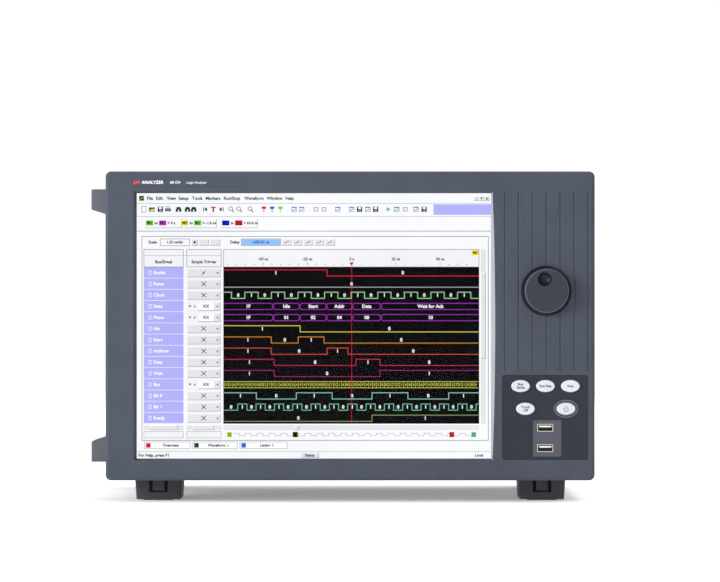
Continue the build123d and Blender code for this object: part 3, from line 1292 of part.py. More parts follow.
def fan_rotor(x):
    """A hub with blades set at an angle, running on the motor's spindle."""
    y0 = FAN_Y0 + FAN_STRUT_T + 1.0
    y1 = FAN_Y0 + FAN_D - FAN_FACE_GAP
    hub = rod_y(0, 0, FAN_HUB_R, y0, y1)
    hub = fillet(hub.faces().sort_by(Axis.Y)[-1].edges(), 2.0)
    reach = FAN_DUCT_R - FAN_TIP_GAP
    blade = Box(reach, FAN_BLADE_T, FAN_BLADE_CHORD, align=(Align.MIN, Align.CENTER, Align.CENTER))
    blade = Pos(FAN_HUB_R - 2, (y0 + y1) / 2, 0) * Rot(FAN_BLADE_ANGLE, 0, 0) * blade
    limit = rod_y(0, 0, reach, y0, y1)
    for i in range(FAN_BLADES):
        hub += Rot(0, 360 / FAN_BLADES * i, 0) * blade & limit
    bore_end = FAN_Y0 + FAN_STRUT_T + FAN_SPINDLE_L + 0.5
    hub -= rod_y(0, 0, FAN_SPINDLE_R + RUNNING, y0, bore_end)
    return Pos(x, 0, FAN_Z) * hub


def fan_guard(x):
    """A round wire guard: rings on two crossed pairs of spokes that end in screw eyes."""
    y = CASE_BACK + GUARD_WIRE_R
    spoke_y = y + 1.5 * GUARD_WIRE_R
    eye = FAN_BOLT / 2 * 2**0.5
    step = FAN_DUCT_R / GUARD_RINGS
    wires = Part()
    for i in range(1, GUARD_RINGS + 1):
        ring = Torus(step * i - GUARD_WIRE_R, GUARD_WIRE_R)
        wires += Pos(x, spoke_y + 1.2 * GUARD_WIRE_R, FAN_Z) * Rot(90, 0, 0) * ring
    for turn in (45, 135):
        rod = Cylinder(GUARD_WIRE_R, 2 * eye - 2 * SCREW_HEAD_R)
        wires += Pos(x, spoke_y, FAN_Z) * Rot(0, turn, 0) * rod
    for dx, dz in fan_bolts():
        loop = Circle(SCREW_HEAD_R + GUARD_EYE) - Circle(SCREW_R + SCREW_HOLE)
        wires += front_prism(Pos(x + dx, FAN_Z + dz) * loop, CASE_BACK, CASE_BACK + GUARD_T)
    return wires


# ---------------------------------------------------------------- inside
def main_deck():
    """Shelf for the processor board, with a turned-down edge."""
    y1 = REAR_FRAME_Y0 - 2
    x0 = CASE_X0 + RAIL_T + 1
    deck = block(x0, DECK_X1, BOARDS_Y0, y1, DECK_BOTTOM, DECK_BOTTOM + DECK_T)
    deck += block(DECK_X1 - DECK_T, DECK_X1, BOARDS_Y0, y1, CASE_Z0 + COVER_T, DECK_BOTTOM)
    for x in (x0 + STANDOFF_IN, DECK_X1 - STANDOFF_IN):
        for y in (BOARDS_Y0 + STANDOFF_IN, y1 - STANDOFF_IN):
            deck += top_prism(Pos(x, y) * Circle(STANDOFF_R), DECK_BOTTOM + DECK_T, MOTHER_Z0)
    return deck


def motherboard():
    """Processor board with its socket and two card slots."""
    mid = BOARDS_MID_Y
    y0 = BOARDS_Y0 + BOARD_SIDE_GAP
    board = block(MOTHER_X0, ACQ_X1, y0, PANEL_Y0 - 1.0, MOTHER_Z0, MOTHER_TOP)
    x = MOTHER_X0 + SOCKET_X
    board += block(x, x + SOCKET, mid - SOCKET / 2, mid + SOCKET / 2, MOTHER_TOP, MOTHER_TOP + SOCKET_T)
    half = CARD_SLOT_L / 2
    for i in range(2):
        x = MOTHER_X0 + CARD_SLOT_X + CARD_SLOT_PITCH * i
        board += block(x, x + CARD_SLOT_W, mid - half, mid + half, MOTHER_TOP, MOTHER_TOP + CARD_SLOT_H)
    return board


def finned_sink(x0, y0, z0, side, base, height, fins, pitch, fin_t):
    """A square base with upright fins along y."""
    sink = block(x0, x0 + side, y0, y0 + side, z0, z0 + base)
    first = x0 + (side - (fins - 1) * pitch - fin_t) / 2
    for i in range(fins):
        x = first + i * pitch
        sink += block(x, x + fin_t, y0, y0 + side, z0 + base, z0 + height)
    return sink


def processor_heatsink():
    side = SOCKET + 2 * SINK_LAP
    x0 = MOTHER_X0 + SOCKET_X - SINK_LAP
    z0 = MOTHER_TOP + SOCKET_T
    y0 = BOARDS_MID_Y - side / 2
    return finned_sink(x0, y0, z0, side, SINK_BASE, SINK_H, SINK_FINS, SINK_FIN_PITCH, SINK_FIN_T)


def memory_modules():
    modules = []
    for i in range(2):
        x = MOTHER_X0 + MODULE_X + MODULE_PITCH * i
        y0 = BOARDS_MID_Y - MODULE_L / 2
        modules.append(block(x, x + MODULE_T, y0, y0 + MODULE_L, MOTHER_TOP, MOTHER_TOP + MODULE_H))
    return group(modules)


def acquisition_board():
    """The board that samples the probes, on standoffs from the bottom cover."""
    y1 = PANEL_Y0 - POD_D - 1.0
    z0 = ACQ_TOP - ACQ_BOARD_T
    board = block(ACQ_X0, ACQ_X1, BOARDS_Y0, y1, z0, ACQ_TOP)
    for x in (ACQ_X0 + ACQ_STANDOFF_IN, ACQ_X1 - ACQ_STANDOFF_IN):
        for y in (BOARDS_Y0 + ACQ_STANDOFF_IN, y1 - ACQ_STANDOFF_REAR):
            board += top_prism(Pos(x, y) * Circle(STANDOFF_R), CASE_Z0 + COVER_T, z0)
    for x, y in acquisition_chips():
        board += block(x, x + ACQ_CHIP, y, y + ACQ_CHIP, ACQ_TOP, ACQ_TOP + ACQ_CHIP_T)
    return board


def acquisition_chips():
    """Lower left corners of the sampling chips, one for each pod."""
    step = (ACQ_X1 - ACQ_X0) / POD_COUNT
    mid = (BOARDS_Y0 + PANEL_Y0) / 2
    return [(ACQ_X0 + step * (i + 0.5) - ACQ_CHIP / 2, mid) for i in range(POD_COUNT)]


def acquisition_heatsinks():
    side = ACQ_CHIP + 2 * SINK_LAP
    z0 = ACQ_TOP + ACQ_CHIP_T
    return [
        finned_sink(
            x - SINK_LAP, y - SINK_LAP, z0, side,
            ACQ_SINK_BASE, ACQ_SINK_H, ACQ_SINK_FINS, ACQ_SINK_PITCH, ACQ_SINK_FIN_T,
        )
        for x, y in acquisition_chips()
    ]


def heatsinks():
    return group([processor_heatsink(), *acquisition_heatsinks()])


def power_supply():
    """Closed sheet box on two feet, with vents in its upper side."""
    x1 = SUPPLY_X0 + SUPPLY_W
    t = SUPPLY_WALL
    box = block(SUPPLY_X0, x1, SUPPLY_Y0, SUPPLY_Y1, SUPPLY_Z0, SUPPLY_Z1)
    box -= block(SUPPLY_X0 + t, x1 - t, SUPPLY_Y0 + t, SUPPLY_Y1 - t, SUPPLY_Z0 + t, SUPPLY_Z1 - t)
    in_x, in_y = SUPPLY_VENT_IN
    vents = slots(SUPPLY_X0 + in_x, SUPPLY_Y0 + in_y, SUPPLY_VENT_COLUMNS, 3)
    box -= top_prism(vents, SUPPLY_Z1 - t, SUPPLY_Z1)
    for y in (SUPPLY_Y0 + SUPPLY_FOOT_IN, SUPPLY_Y1 - SUPPLY_FOOT_IN - SUPPLY_FOOT):
        box += block(
            SUPPLY_X0 + SUPPLY_FOOT_IN, x1 - SUPPLY_FOOT_IN, y, y + SUPPLY_FOOT, CASE_Z0 + COVER_T, SUPPLY_Z0
        )
    return box


def hard_drive():
    """Drive with a shaped lid, on a folded tray above the power supply."""
    x0 = INLET_X - DRIVE_W / 2
    x1 = x0 + DRIVE_W
    y0 = SUPPLY_Y0
    z0 = SUPPLY_Z1 + DRIVE_RISE
    z1 = z0 + DRIVE_H
    lid_z = z1 - DRIVE_LID_SINK
    inset = DRIVE_LID_IN
    drive = block(x0, x1, y0, y0 + DRIVE_L, z0, z1)
    drive -= block(x0 + inset, x1 - inset, y0 + inset, y0 + DRIVE_L - DRIVE_LID_REAR, lid_z, z1)
    disc = Pos(INLET_X, y0 + DRIVE_L / 2 - DRIVE_DISC_FORWARD) * Circle(DRIVE_DISC_R)
    return drive + top_prism(disc, lid_z, z1)


def drive_tray():
    """Bridge over the power supply that carries the hard drive."""
    y1 = SUPPLY_Y0 + DRIVE_L
    z1 = SUPPLY_Z1 + DRIVE_RISE
    x1 = SUPPLY_X0 + SUPPLY_W
    tray = block(SUPPLY_X0, x1, SUPPLY_Y0, y1, z1 - DECK_T, z1)
    for x in (SUPPLY_X0, x1 - DECK_T):
        tray += block(x, x + DECK_T, SUPPLY_Y0, y1, SUPPLY_Z1, z1 - DECK_T)
    return tray


# ---------------------------------------------------------------- every node
def nodes():
    made = {
        "front_bezel": front_bezel,
        "nameplate": nameplate,
        "display_gasket": display_gasket,
        "touch_glass": touch_glass,
        "display_cell": display_cell,
        "display_backlight": display_backlight,
        "display_bracket": display_bracket,
        "selector_knob": selector_knob,
        "encoder_shaft": encoder_shaft,
        "encoder_body": encoder_body,
        "encoder_nut": encoder_nut,
        "power_ring": power_ring,
        "keypad_plate": keypad_plate,
        "keypad_mat": keypad_mat,
        "front_panel_board": front_panel_board,
        "usb_plate": usb_plate,
        "usb_shells": usb_shells,
        "usb_tongues": usb_tongues,
        "front_frame": front_frame,
        "rear_frame": rear_frame,
        "corner_rails": corner_rails,
        "top_cover": top_cover,
        "bottom_cover": bottom_cover,
        "left_side_cover": left_side_cover,
        "right_side_cover": right_side_cover,
        "rear_panel": rear_panel,
        "case_screws": case_screws,
        "front_feet": front_feet,
        "rear_feet": rear_feet,
        "foot_pads": foot_pads,
        "side_feet": side_feet,
        "rear_corner_feet": rear_corner_feet,
        "handle_caps": handle_caps,
        "handle_strap": handle_strap,
        "power_inlet": power_inlet,
        "inlet_pins": inlet_pins,
        "pod_socket_shells": pod_socket_shells,
        "bnc_jacks": bnc_jacks,
        "connector_inserts": connector_inserts,
        "io_shield": io_shield,
        "rear_ports": rear_ports,
        "main_deck": main_deck,
        "motherboard": motherboard,
        "memory_modules": memory_modules,
        "acquisition_board": acquisition_board,
        "heatsinks": heatsinks,
        "power_supply": power_supply,
        "hard_drive": hard_drive,
        "drive_tray": drive_tray,
    }
    shapes = {name: make() for name, make in made.items()}
    for name in BUTTON_SPOTS:
        shapes[name] = push_button(name)
    for side, x, foot_x in zip(("left", "right"), FAN_XS, FOOT_XS):
        shapes[f"{side}_fan_rotor"] = fan_rotor(x)
        shapes[f"{side}_tilt_stand"] = tilt_stand(foot_x)
    shapes["fan_frames"] = group([fan_frame(x) for x in FAN_XS])
    shapes["fan_guards"] = group([fan_guard(x) for x in FAN_XS])
    return shapes


def export_all():
    os.makedirs("parts", exist_ok=True)
    to_row_frame = Pos(-CENTRE_X, -CENTRE_Y, 0)
    for name, shape in nodes().items():
        export_step(to_row_frame * shape, f"parts/{name}.step")


export_all()
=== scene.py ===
import json
import math

import bmesh
import bpy
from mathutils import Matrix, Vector


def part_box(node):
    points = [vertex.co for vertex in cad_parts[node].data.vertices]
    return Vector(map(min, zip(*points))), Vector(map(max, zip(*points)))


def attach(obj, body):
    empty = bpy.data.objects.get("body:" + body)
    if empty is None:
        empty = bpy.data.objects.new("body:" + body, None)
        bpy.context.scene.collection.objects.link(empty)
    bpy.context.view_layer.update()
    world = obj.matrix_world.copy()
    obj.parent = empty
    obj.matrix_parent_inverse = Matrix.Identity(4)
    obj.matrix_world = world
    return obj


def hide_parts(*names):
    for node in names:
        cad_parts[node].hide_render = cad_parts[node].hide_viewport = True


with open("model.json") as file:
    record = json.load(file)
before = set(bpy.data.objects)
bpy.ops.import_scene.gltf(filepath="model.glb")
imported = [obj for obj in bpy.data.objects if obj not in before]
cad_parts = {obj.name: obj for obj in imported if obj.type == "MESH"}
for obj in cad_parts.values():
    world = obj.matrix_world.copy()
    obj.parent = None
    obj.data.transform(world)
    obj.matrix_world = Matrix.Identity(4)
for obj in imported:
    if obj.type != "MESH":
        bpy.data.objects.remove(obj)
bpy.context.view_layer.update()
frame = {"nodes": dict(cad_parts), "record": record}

MM = 0.001
NODES = frame["nodes"]
BODIES = frame["record"]["behaviour"]["bodies"]
BODY_OF = {node: body for body, nodes in BODIES.items() for node in nodes}


# ---------------------------------------------------------------- camera, floor and lights
BEZEL_LOW, BEZEL_HIGH = (Vector(corner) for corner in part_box("front_bezel"))
EYE_DISTANCE = 3.4       # metres from the bezel's face
EYE_RIGHT = 0.0086       # the eye, right of the bezel's centre
EYE_ABOVE = 0.0304       # and above it
VIEW_WIDTH = 0.6264      # what the view spans at the bezel's face
SENSOR = 36.0            # the sensor's width in millimetres
WHITE = (1, 1, 1, 1)
ROOM_LIGHT = 0.75        # strength of the even light from all round
PAPER_GLOW = 0.25        # strength of the floor's own faint light


def make_camera():
    """A long lens, square to the front panel."""
    data = bpy.data.cameras.new("studio_camera")
    data.sensor_width = SENSOR
    data.lens = SENSOR * EYE_DISTANCE / VIEW_WIDTH
    camera = bpy.data.objects.new("studio_camera", data)
    centre = (BEZEL_LOW + BEZEL_HIGH) / 2
    camera.location = (centre.x + EYE_RIGHT, BEZEL_LOW.y - EYE_DISTANCE, centre.z + EYE_ABOVE)
    camera.rotation_euler = (math.radians(90), 0, 0)
    bpy.context.scene.collection.objects.link(camera)
    bpy.context.scene.camera = camera


def area_light(name, place, target, size, watts):
    """A white rectangular soft box at a place, aimed at a target."""
    data = bpy.data.lights.new(name, "AREA")
    data.shape = "RECTANGLE"
    data.size, data.size_y = size
    data.energy = watts
    light = bpy.data.objects.new(name, data)
    light.location = place
    aim = Vector(target) - Vector(place)
    light.rotation_euler = aim.to_track_quat("-Z", "Y").to_euler()
    bpy.context.scene.collection.objects.link(light)


def make_lights():
    """A strong soft box far to the left, weaker ones in front, above and behind, in a pale room."""
    area_light("left_soft_box", (-2.3, -1.7, 0.8), (0, -0.1, 0.15), (1.2, 1.2), 74)
    area_light("front_soft_box", (-0.9, -3.2, 1.7), (0, -0.1, 0.15), (1.6, 1.0), 14)
    area_light("top_soft_box", (0.3, 0.2, 2.4), (0, 0, 0.1), (1.6, 1.2), 22)
    area_light("rear_soft_box", (0.9, 2.6, 1.3), (0, 0.1, 0.15), (1.4, 1.2), 40)
    world = bpy.data.worlds.new("pale_room")
    world.use_nodes = True
    background = world.node_tree.nodes["Background"]
    background.inputs["Color"].default_value = WHITE
    background.inputs["Strength"].default_value = ROOM_LIGHT
    bpy.context.scene.world = world


def make_floor():
    """A seamless pale sweep: a bench that bends up into a wall far behind."""
    half = 9.0      # metres from the middle to each side and to the front
    depth = 6.0     # to the wall
    bend = 1.4      # radius between bench and wall
    height = 6.0
    steps = 12
    line = [(-half, 0.0), (depth - bend, 0.0)]
    for i in range(1, steps + 1):
        angle = math.pi / 2 * i / steps
        line.append((depth - bend + bend * math.sin(angle), bend * (1 - math.cos(angle))))
    line.append((depth, height))
    points = [(x, y, z) for y, z in line for x in (-half, half)]
    faces = [(2 * i, 2 * i + 1, 2 * i + 3, 2 * i + 2) for i in range(len(line) - 1)]
    mesh = bpy.data.meshes.new("floor")
    mesh.from_pydata(points, [], faces)
    mesh.shade_smooth()
    floor = bpy.data.objects.new("floor", mesh)
    bpy.context.scene.collection.objects.link(floor)
    floor.data.materials.append(pale_paper())


# ---------------------------------------------------------------- materials: helpers
def linear(code):
    """The linear colour of an sRGB hex code, with alpha 1."""
    values = [int(code[i : i + 2], 16) / 255 for i in (1, 3, 5)]
    return (*(v / 12.92 if v <= 0.04045 else ((v + 0.055) / 1.055) ** 2.4 for v in values), 1.0)


def add_node(tree, kind, settings=None, links=None):
    """Adds a node, sets its properties and inputs, and feeds inputs from other nodes' outputs."""
    made = tree.nodes.new(kind)
    for key, value in (settings or {}).items():
        if isinstance(key, int) or key in made.inputs:
            made.inputs[key].default_value = value
        else:
            setattr(made, key, value)
    for key, source in (links or {}).items():
        tree.links.new(source, made.inputs[key])
    return made


def start_material(name, roughness, **constants):
    """A material whose Principled shader has these constants. Returns it with its tree and shader."""
    made = bpy.data.materials.new(name)
    made.use_nodes = True
    shader = made.node_tree.nodes["Principled BSDF"]
    shader.inputs["Roughness"].default_value = roughness
    for key, value in constants.items():
        shader.inputs[key.replace("_", " ")].default_value = value
    return made, made.node_tree, shader


def mottle(tree, shader, dark, light, patch_mm, contrast=0.35):
    """Varies the base colour between two codes in soft patches. Returns the texture coordinates."""
    place = add_node(tree, "ShaderNodeTexCoord")
    patches = add_node(
        tree,
        "ShaderNodeTexNoise",
        {"Scale": 1 / (patch_mm * MM), "Detail": 3.0, "Roughness": 0.55},
        {"Vector": place.outputs["Object"]},
    )
    ramp = add_node(
        tree,
        "ShaderNodeMapRange",
        {"From Min": 0.5 - contrast / 2, "From Max": 0.5 + contrast / 2},
        {"Value": patches.outputs["Fac"]},
    )
    mix = add_node(
        tree,
        "ShaderNodeMix",
        {"data_type": "RGBA", 6: linear(dark), 7: linear(light)},
        {0: ramp.outputs["Result"]},
    )
    tree.links.new(mix.outputs[2], shader.inputs["Base Color"])
    return place


def bump(tree, shader, height, depth_mm):
    """Raises the surface by a height socket of 0 to 1 times the depth."""
    made = add_node(tree, "ShaderNodeBump", {"Distance": depth_mm * MM}, {"Height": height})
    tree.links.new(made.outputs["Normal"], shader.inputs["Normal"])


def grain(tree, shader, vector, size_mm, depth_mm, detail=2.0, roughness=0.5):
    """Raises the surface by fine noise."""
    noise = add_node(
        tree,
        "ShaderNodeTexNoise",
        {"Scale": 1 / (size_mm * MM), "Detail": detail, "Roughness": roughness},
        {"Vector": vector},
    )
    bump(tree, shader, noise.outputs["Fac"], depth_mm)


# ---------------------------------------------------------------- materials: plastics and rubbers
def moulded(name, dark, light, grain_mm, depth_mm, roughness, **constants):
    """Moulded plastic: faint flow mottling, and the fine grain of a spark-eroded mould."""
    made, tree, shader = start_material(name, roughness, **constants)
    place = mottle(tree, shader, dark, light, 38.0)
    grain(tree, shader, place.outputs["Object"], grain_mm, depth_mm, 2.0, 0.6)
    return made


def bezel_paint():
    """Two-part polyurethane paint on moulded ABS: matt blue-grey, with a sandy grain."""
    return moulded("painted_abs", "#383d49", "#3d424e", 0.55, 0.05, 0.62, Specular_IOR_Level=0.25)


def keypad_abs():
    """Moulded ABS of the keypad plate: darker and finer than the bezel."""
    return moulded("keypad_abs", "#20242c", "#242830", 0.45, 0.03, 0.6, Specular_IOR_Level=0.22)


def usb_plate_abs():
    """Moulded ABS of the port insert: a little lighter and warmer than the keypad."""
    return moulded("port_insert_abs", "#42424c", "#464650", 0.45, 0.03, 0.55, Specular_IOR_Level=0.35)


def button_abs():
    """Smooth light grey ABS key caps, polished enough to catch a soft highlight."""
    return moulded("button_abs", "#b6bbc3", "#bfc4cb", 0.8, 0.008, 0.38, Specular_IOR_Level=0.45)


def ring_abs():
    """Glossier near-black ABS of the ring round the power button."""
    return moulded("ring_abs", "#20232b", "#23262e", 0.4, 0.01, 0.35, Specular_IOR_Level=0.45)


def wall_painted_light():
    """Painted light: the grey that the display's light leaves on the wall beside it, painted into the wall's
    colour.
    """
    return moulded("wall_painted_light_grey", "#8f939b", "#989ca4", 0.55, 0.03, 0.6, Specular_IOR_Level=0.25)


def dimple_painted_shade():
    """The knob's finger dimple, painted darker as shade in its hollow."""
    return moulded("dimple_painted_shade", "#14161b", "#17191e", 0.4, 0.01, 0.4, Specular_IOR_Level=0.2)


def rim_painted_highlight():
    """The knob's rim, painted a lighter grey than its face as a highlight."""
    return moulded("rim_painted_highlight", "#4c515c", "#525762", 0.4, 0.01, 0.45, Specular_IOR_Level=0.3)


def knob_abs():
    """Satin ABS knob, the bezel's colour but a shade darker and smoother."""
    return moulded("knob_abs", "#262a33", "#2a2e37", 0.4, 0.02, 0.5, Specular_IOR_Level=0.25)


def nameplate_film():
    """Screen-printed polycarbonate film: the bezel's colour, flatter and slightly glossier."""
    return moulded("printed_film", "#373c48", "#3a3f4b", 0.3, 0.006, 0.55, Specular_IOR_Level=0.25)


def foot_abs():
    """Glass-filled plastic of the feet and handle caps: almost black, coarse mould grain."""
    return moulded("glass_filled_abs", "#37383e", "#3d3e44", 0.7, 0.06, 0.6, Specular_IOR_Level=0.35)


def side_foot_abs():
    """The same plastic in grey, for the side feet."""
    return moulded("grey_glass_filled_abs", "#50525a", "#565860", 0.7, 0.06, 0.6, Specular_IOR_Level=0.35)


def black_nylon():
    """Glass-filled black nylon of fans and connectors: faintly glossy, with cloudy flow marks."""
    return moulded("black_nylon", "#17181a", "#1f2022", 0.5, 0.02, 0.42)


def white_nylon():
    """Natural white connector nylon, slightly yellow and waxy."""
    return moulded("white_nylon", "#d9d6c8", "#e4e1d4", 0.6, 0.01, 0.45, Subsurface_Weight=0.05)


def black_rubber():
    """Moulded neoprene: matt, faintly dusty."""
    return moulded("black_rubber", "#1b1b1d", "#26262a", 0.5, 0.04, 0.85, Specular_IOR_Level=0.25)


def strap_rubber():
    """Thermoplastic rubber of the strap: soft sheen over a fine leather-like grain."""
    return moulded("strap_rubber", "#202125", "#292a2e", 0.9, 0.08, 0.68, Sheen_Weight=0.15)


# ---------------------------------------------------------------- materials: metals
def powder_coat(name, dark, light):
    """Textured polyester powder coat on steel: small rounded bumps and a low sheen."""
    made, tree, shader = start_material(name, 0.55, Specular_IOR_Level=0.4)
    place = mottle(tree, shader, dark, light, 60.0)
    cells = add_node(
        tree,
        "ShaderNodeTexVoronoi",
        {"feature": "SMOOTH_F1", "Scale": 1 / (0.9 * MM), "Smoothness": 0.6},
        {"Vector": place.outputs["Object"]},
    )
    bump(tree, shader, cells.outputs["Distance"], 0.09)
    return made


def cover_coat():
    """The sheet covers are a lighter, greyer shade than the castings."""
    return powder_coat("cover_powder_coat", "#4c4f58", "#52555e")


def frame_coat():
    """The die-cast frames and rails wear the bezel's darker grey."""
    return powder_coat("frame_powder_coat", "#3e424c", "#434751")


def zinc_sheet():
    """Zinc-plated steel: bluish spangle a few millimetres across under fine rolling lines."""
    made, tree, shader = start_material("zinc_plated_steel", 0.36, Metallic=1.0)
    place = mottle(tree, shader, "#9fa3a8", "#b9bcc0", 5.0, 0.6)
    stretch = add_node(
        tree, "ShaderNodeMapping", {"Scale": (1 / 40, 1.0, 1.0)}, {"Vector": place.outputs["Object"]}
    )
    grain(tree, shader, stretch.outputs["Vector"], 0.35, 0.01)
    return made


def plated(name, dark, light, roughness):
    """Bright plating with faint cloudy variation and hairline polishing marks."""
    made, tree, shader = start_material(name, roughness, Metallic=1.0)
    place = mottle(tree, shader, dark, light, 2.5, 0.8)
    grain(tree, shader, place.outputs["Object"], 0.25, 0.006, 3.0)
    return made


def nickel():
    """Bright nickel on screws, wire stands and guards: cool and almost mirror-like."""
    return plated("nickel_plated_steel", "#b8b7b2", "#cbcac5", 0.22)


def port_shell_painted_shade():
    """Tin-plated port shells, coloured dull dark grey as painted shade, so that their insides stay dark."""
    return plated("tin_plate_painted_shade", "#4a4a48", "#565653", 0.4)


def nickel_brass():
    """Nickel over brass is a little warmer, and brighter where it is turned."""
    return plated("nickel_plated_brass", "#c0b9a6", "#d2ccb9", 0.2)


def black_anodised():
    """Black anodised extrusion, with long die lines along the fins."""
    made, tree, shader = start_material("black_anodised_aluminium", 0.4, Metallic=0.6)
    place = mottle(tree, shader, "#1a1b1d", "#242527", 12.0)
    stretch = add_node(
        tree, "ShaderNodeMapping", {"Scale": (1.0, 1 / 60, 1.0)}, {"Vector": place.outputs["Object"]}
    )
    grain(tree, shader, stretch.outputs["Vector"], 0.4, 0.02)
    return made


def drive_casting():
    """Sand-blasted cast aluminium of the hard drive."""
    made, tree, shader = start_material("cast_aluminium", 0.45, Metallic=1.0)
    place = mottle(tree, shader, "#a7a8aa", "#b6b7b9", 8.0)
    grain(tree, shader, place.outputs["Object"], 0.4, 0.03, 4.0)
    return made


# ---------------------------------------------------------------- materials: boards, glass, screen
def solder_mask():
    """Green solder mask over etched copper: fine tracks show as slightly raised, lighter lines."""
    made, tree, shader = start_material("solder_masked_laminate", 0.35, Coat_Weight=0.4)
    place = add_node(tree, "ShaderNodeTexCoord")
    tracks = add_node(
        tree,
        "ShaderNodeTexBrick",
        {"Scale": 1.0, "Mortar Size": 0.0004, "Brick Width": 0.009, "Row Height": 0.0021,
         "Color1": linear("#12452c"), "Color2": linear("#154d31"), "Mortar": linear("#2a6e46")},
        {"Vector": place.outputs["Object"]},
    )
    tree.links.new(tracks.outputs["Color"], shader.inputs["Base Color"])
    bump(tree, shader, tracks.outputs["Fac"], 0.03)
    return made


def screen_glass():
    """Touch glass with a faint anti-glare etch. Its anti-reflective coat acts like a low index."""
    made, tree, shader = start_material("etched_touch_glass", 0.02, Transmission_Weight=1.0, IOR=1.1)
    place = mottle(tree, shader, "#f4f6f8", "#fbfcfd", 120.0)
    grain(tree, shader, place.outputs["Object"], 0.5, 0.0004, 1.0)
    return made


def lit_colour(name, code):
    """One colour of the lit display: it glows, and the liquid crystal cell itself is dark."""
    made, _, shader = start_material(name, 0.6, Emission_Strength=1.1, Specular_IOR_Level=0.0)
    shader.inputs["Base Color"].default_value = linear("#050506")
    shader.inputs["Emission Color"].default_value = linear(code)
    return made


def printing_ink(name, code):
    """Screen-printing ink: opaque and slightly satin, with a faint screen mesh in its surface."""
    made, tree, shader = start_material(name, 0.5)
    place = mottle(tree, shader, code, code, 3.0)
    grain(tree, shader, place.outputs["Object"], 0.2, 0.004, 1.0)
    return made


def pale_paper():
    """Seamless studio paper, lit faintly from behind, so that shadows on it stay light."""
    made, tree, shader = start_material("studio_paper", 0.9, Specular_IOR_Level=0.1)
    shader.inputs["Emission Color"].default_value = WHITE
    shader.inputs["Emission Strength"].default_value = PAPER_GLOW
    mottle(tree, shader, "#f2f2f2", "#f5f5f5", 200.0)
    return made


# ---------------------------------------------------------------- finishes of the machined and moulded pieces
FINISHES = {
    "bezel_plastic": bezel_paint(),
    "keypad_plastic": keypad_abs(),
    "usb_plate_plastic": usb_plate_abs(),
    "button_plastic": button_abs(),
    "knob_plastic": knob_abs(),
    "nameplate_film": nameplate_film(),
    "black_rubber": black_rubber(),
    "touch_glass": screen_glass(),
    "display_cell": lit_colour("display_white", "#f6f6f8"),
    "sheet_steel": zinc_sheet(),
    "painted_sheet": cover_coat(),
    "cast_frame": frame_coat(),
    "foot_plastic": foot_abs(),
    "side_foot_plastic": side_foot_abs(),
    "bright_steel": nickel(),
    "brass_nickel": nickel_brass(),
    "black_plastic": black_nylon(),
    "white_plastic": white_nylon(),
    "circuit_board": solder_mask(),
    "black_aluminium": black_anodised(),
    "drive_aluminium": drive_casting(),
    "strap_rubber": strap_rubber(),
}
SLOT_OF = {part["node"]: part["material_slot"] for part in frame["record"]["subparts"]}
FINISH_OF = {node: FINISHES[slot] for node, slot in SLOT_OF.items()}
FINISH_OF["power_ring"] = ring_abs()
# the port shells are darkened as painted shade inside the ports
FINISH_OF["usb_shells"] = port_shell_painted_shade()

# How far each visible piece's sharp edges are rounded, in millimetres.
EDGE_ROUNDING = {
    "front_bezel": 0.3,
    "keypad_plate": 0.2,
    "usb_plate": 0.2,
    "power_ring": 0.25,
    "selector_knob": 0.3,
    "encoder_nut": 0.1,
    "nameplate": 0.05,
    "run_single_button": 0.1,
    "run_repeat_button": 0.1,
    "stop_button": 0.1,
    "touch_lock_button": 0.1,
    "power_button": 0.1,
    "usb_shells": 0.08,
    "case_screws": 0.12,
    "fan_guards": 0.1,
    "left_fan_rotor": 0.25,
    "right_fan_rotor": 0.25,
    "left_tilt_stand": 0.1,
    "right_tilt_stand": 0.1,
    "rear_frame": 0.5,
    "corner_rails": 0.4,
    "top_cover": 0.3,
    "bottom_cover": 0.3,
    "left_side_cover": 0.25,
    "right_side_cover": 0.25,
    "rear_panel": 0.25,
    "front_feet": 0.5,
    "rear_feet": 0.5,
    "foot_pads": 0.3,
    "side_feet": 0.5,
    "rear_corner_feet": 0.5,
    "handle_caps": 0.4,
    "power_inlet": 0.3,
    "inlet_pins": 0.4,
    "pod_socket_shells": 0.2,
    "connector_inserts": 0.2,
    "io_shield": 0.1,
    "rear_ports": 0.15,
    "bnc_jacks": 0.15,
    "usb_tongues": 0.1,
    "fan_frames": 0.4,
}
SMOOTH_UNDER = math.radians(28)   # edges flatter than this are part of a curve
FLAT_UNDER = math.radians(0.4)    # faces that meet flatter than this are one face
JOIN_WITHIN = 1e-6                # metres between corners that are the same corner
FACE_CORNERS = (96, 8, 3)         # the most corners a face may have, in the order tried
AREA_GROWTH = 1.001               # growth of the skin that shows a torn face
# the bezel's wall right of the display, which is painted pale grey as painted light:
WALL_AHEAD = 0.9                  # the display opening's walls start so far ahead of the glass, in mm
WALL_BAND = (-6.5, 1.5)           # and lie in this band round the glass's right edge
PORT_LIP = 0.2                    # depth of the port shells' front rims
# the knob's dimple, which is painted with shade:
DIMPLE_DEPTHS = (0.2, 5.0)        # the dimple's faces lie in this band behind the knob's face
DIMPLE_REACH = 17.0               # and within this radius of the knob's axis
# the knob's rim, which gets a painted highlight:
RIM_REACH = 17.8                  # the knob's rim starts at this radius
RIM_TURN = (-0.93, -0.2)          # and its faces look forwards by this much


def cleaned_mesh(node, most_corners):
    """A CAD node's mesh with its triangles joined up into flat faces of no more than so many corners."""
    mesh = NODES[node].data.copy()
    mesh.name = node + "_finished"
    work = bmesh.new()
    work.from_mesh(mesh)
    bmesh.ops.remove_doubles(work, verts=work.verts, dist=JOIN_WITHIN)
    bmesh.ops.dissolve_limit(
        work, angle_limit=FLAT_UNDER, verts=work.verts, edges=work.edges, delimit={"NORMAL"}
    )
    wide = [face for face in work.faces if len(face.verts) > most_corners]
    bmesh.ops.triangulate(work, faces=wide, quad_method="BEAUTY", ngon_method="BEAUTY")
    work.to_mesh(mesh)
    work.free()
    return mesh


def linked_object(name, mesh):
    piece = bpy.data.objects.new(name, mesh)
    bpy.context.scene.collection.objects.link(piece)
    return piece


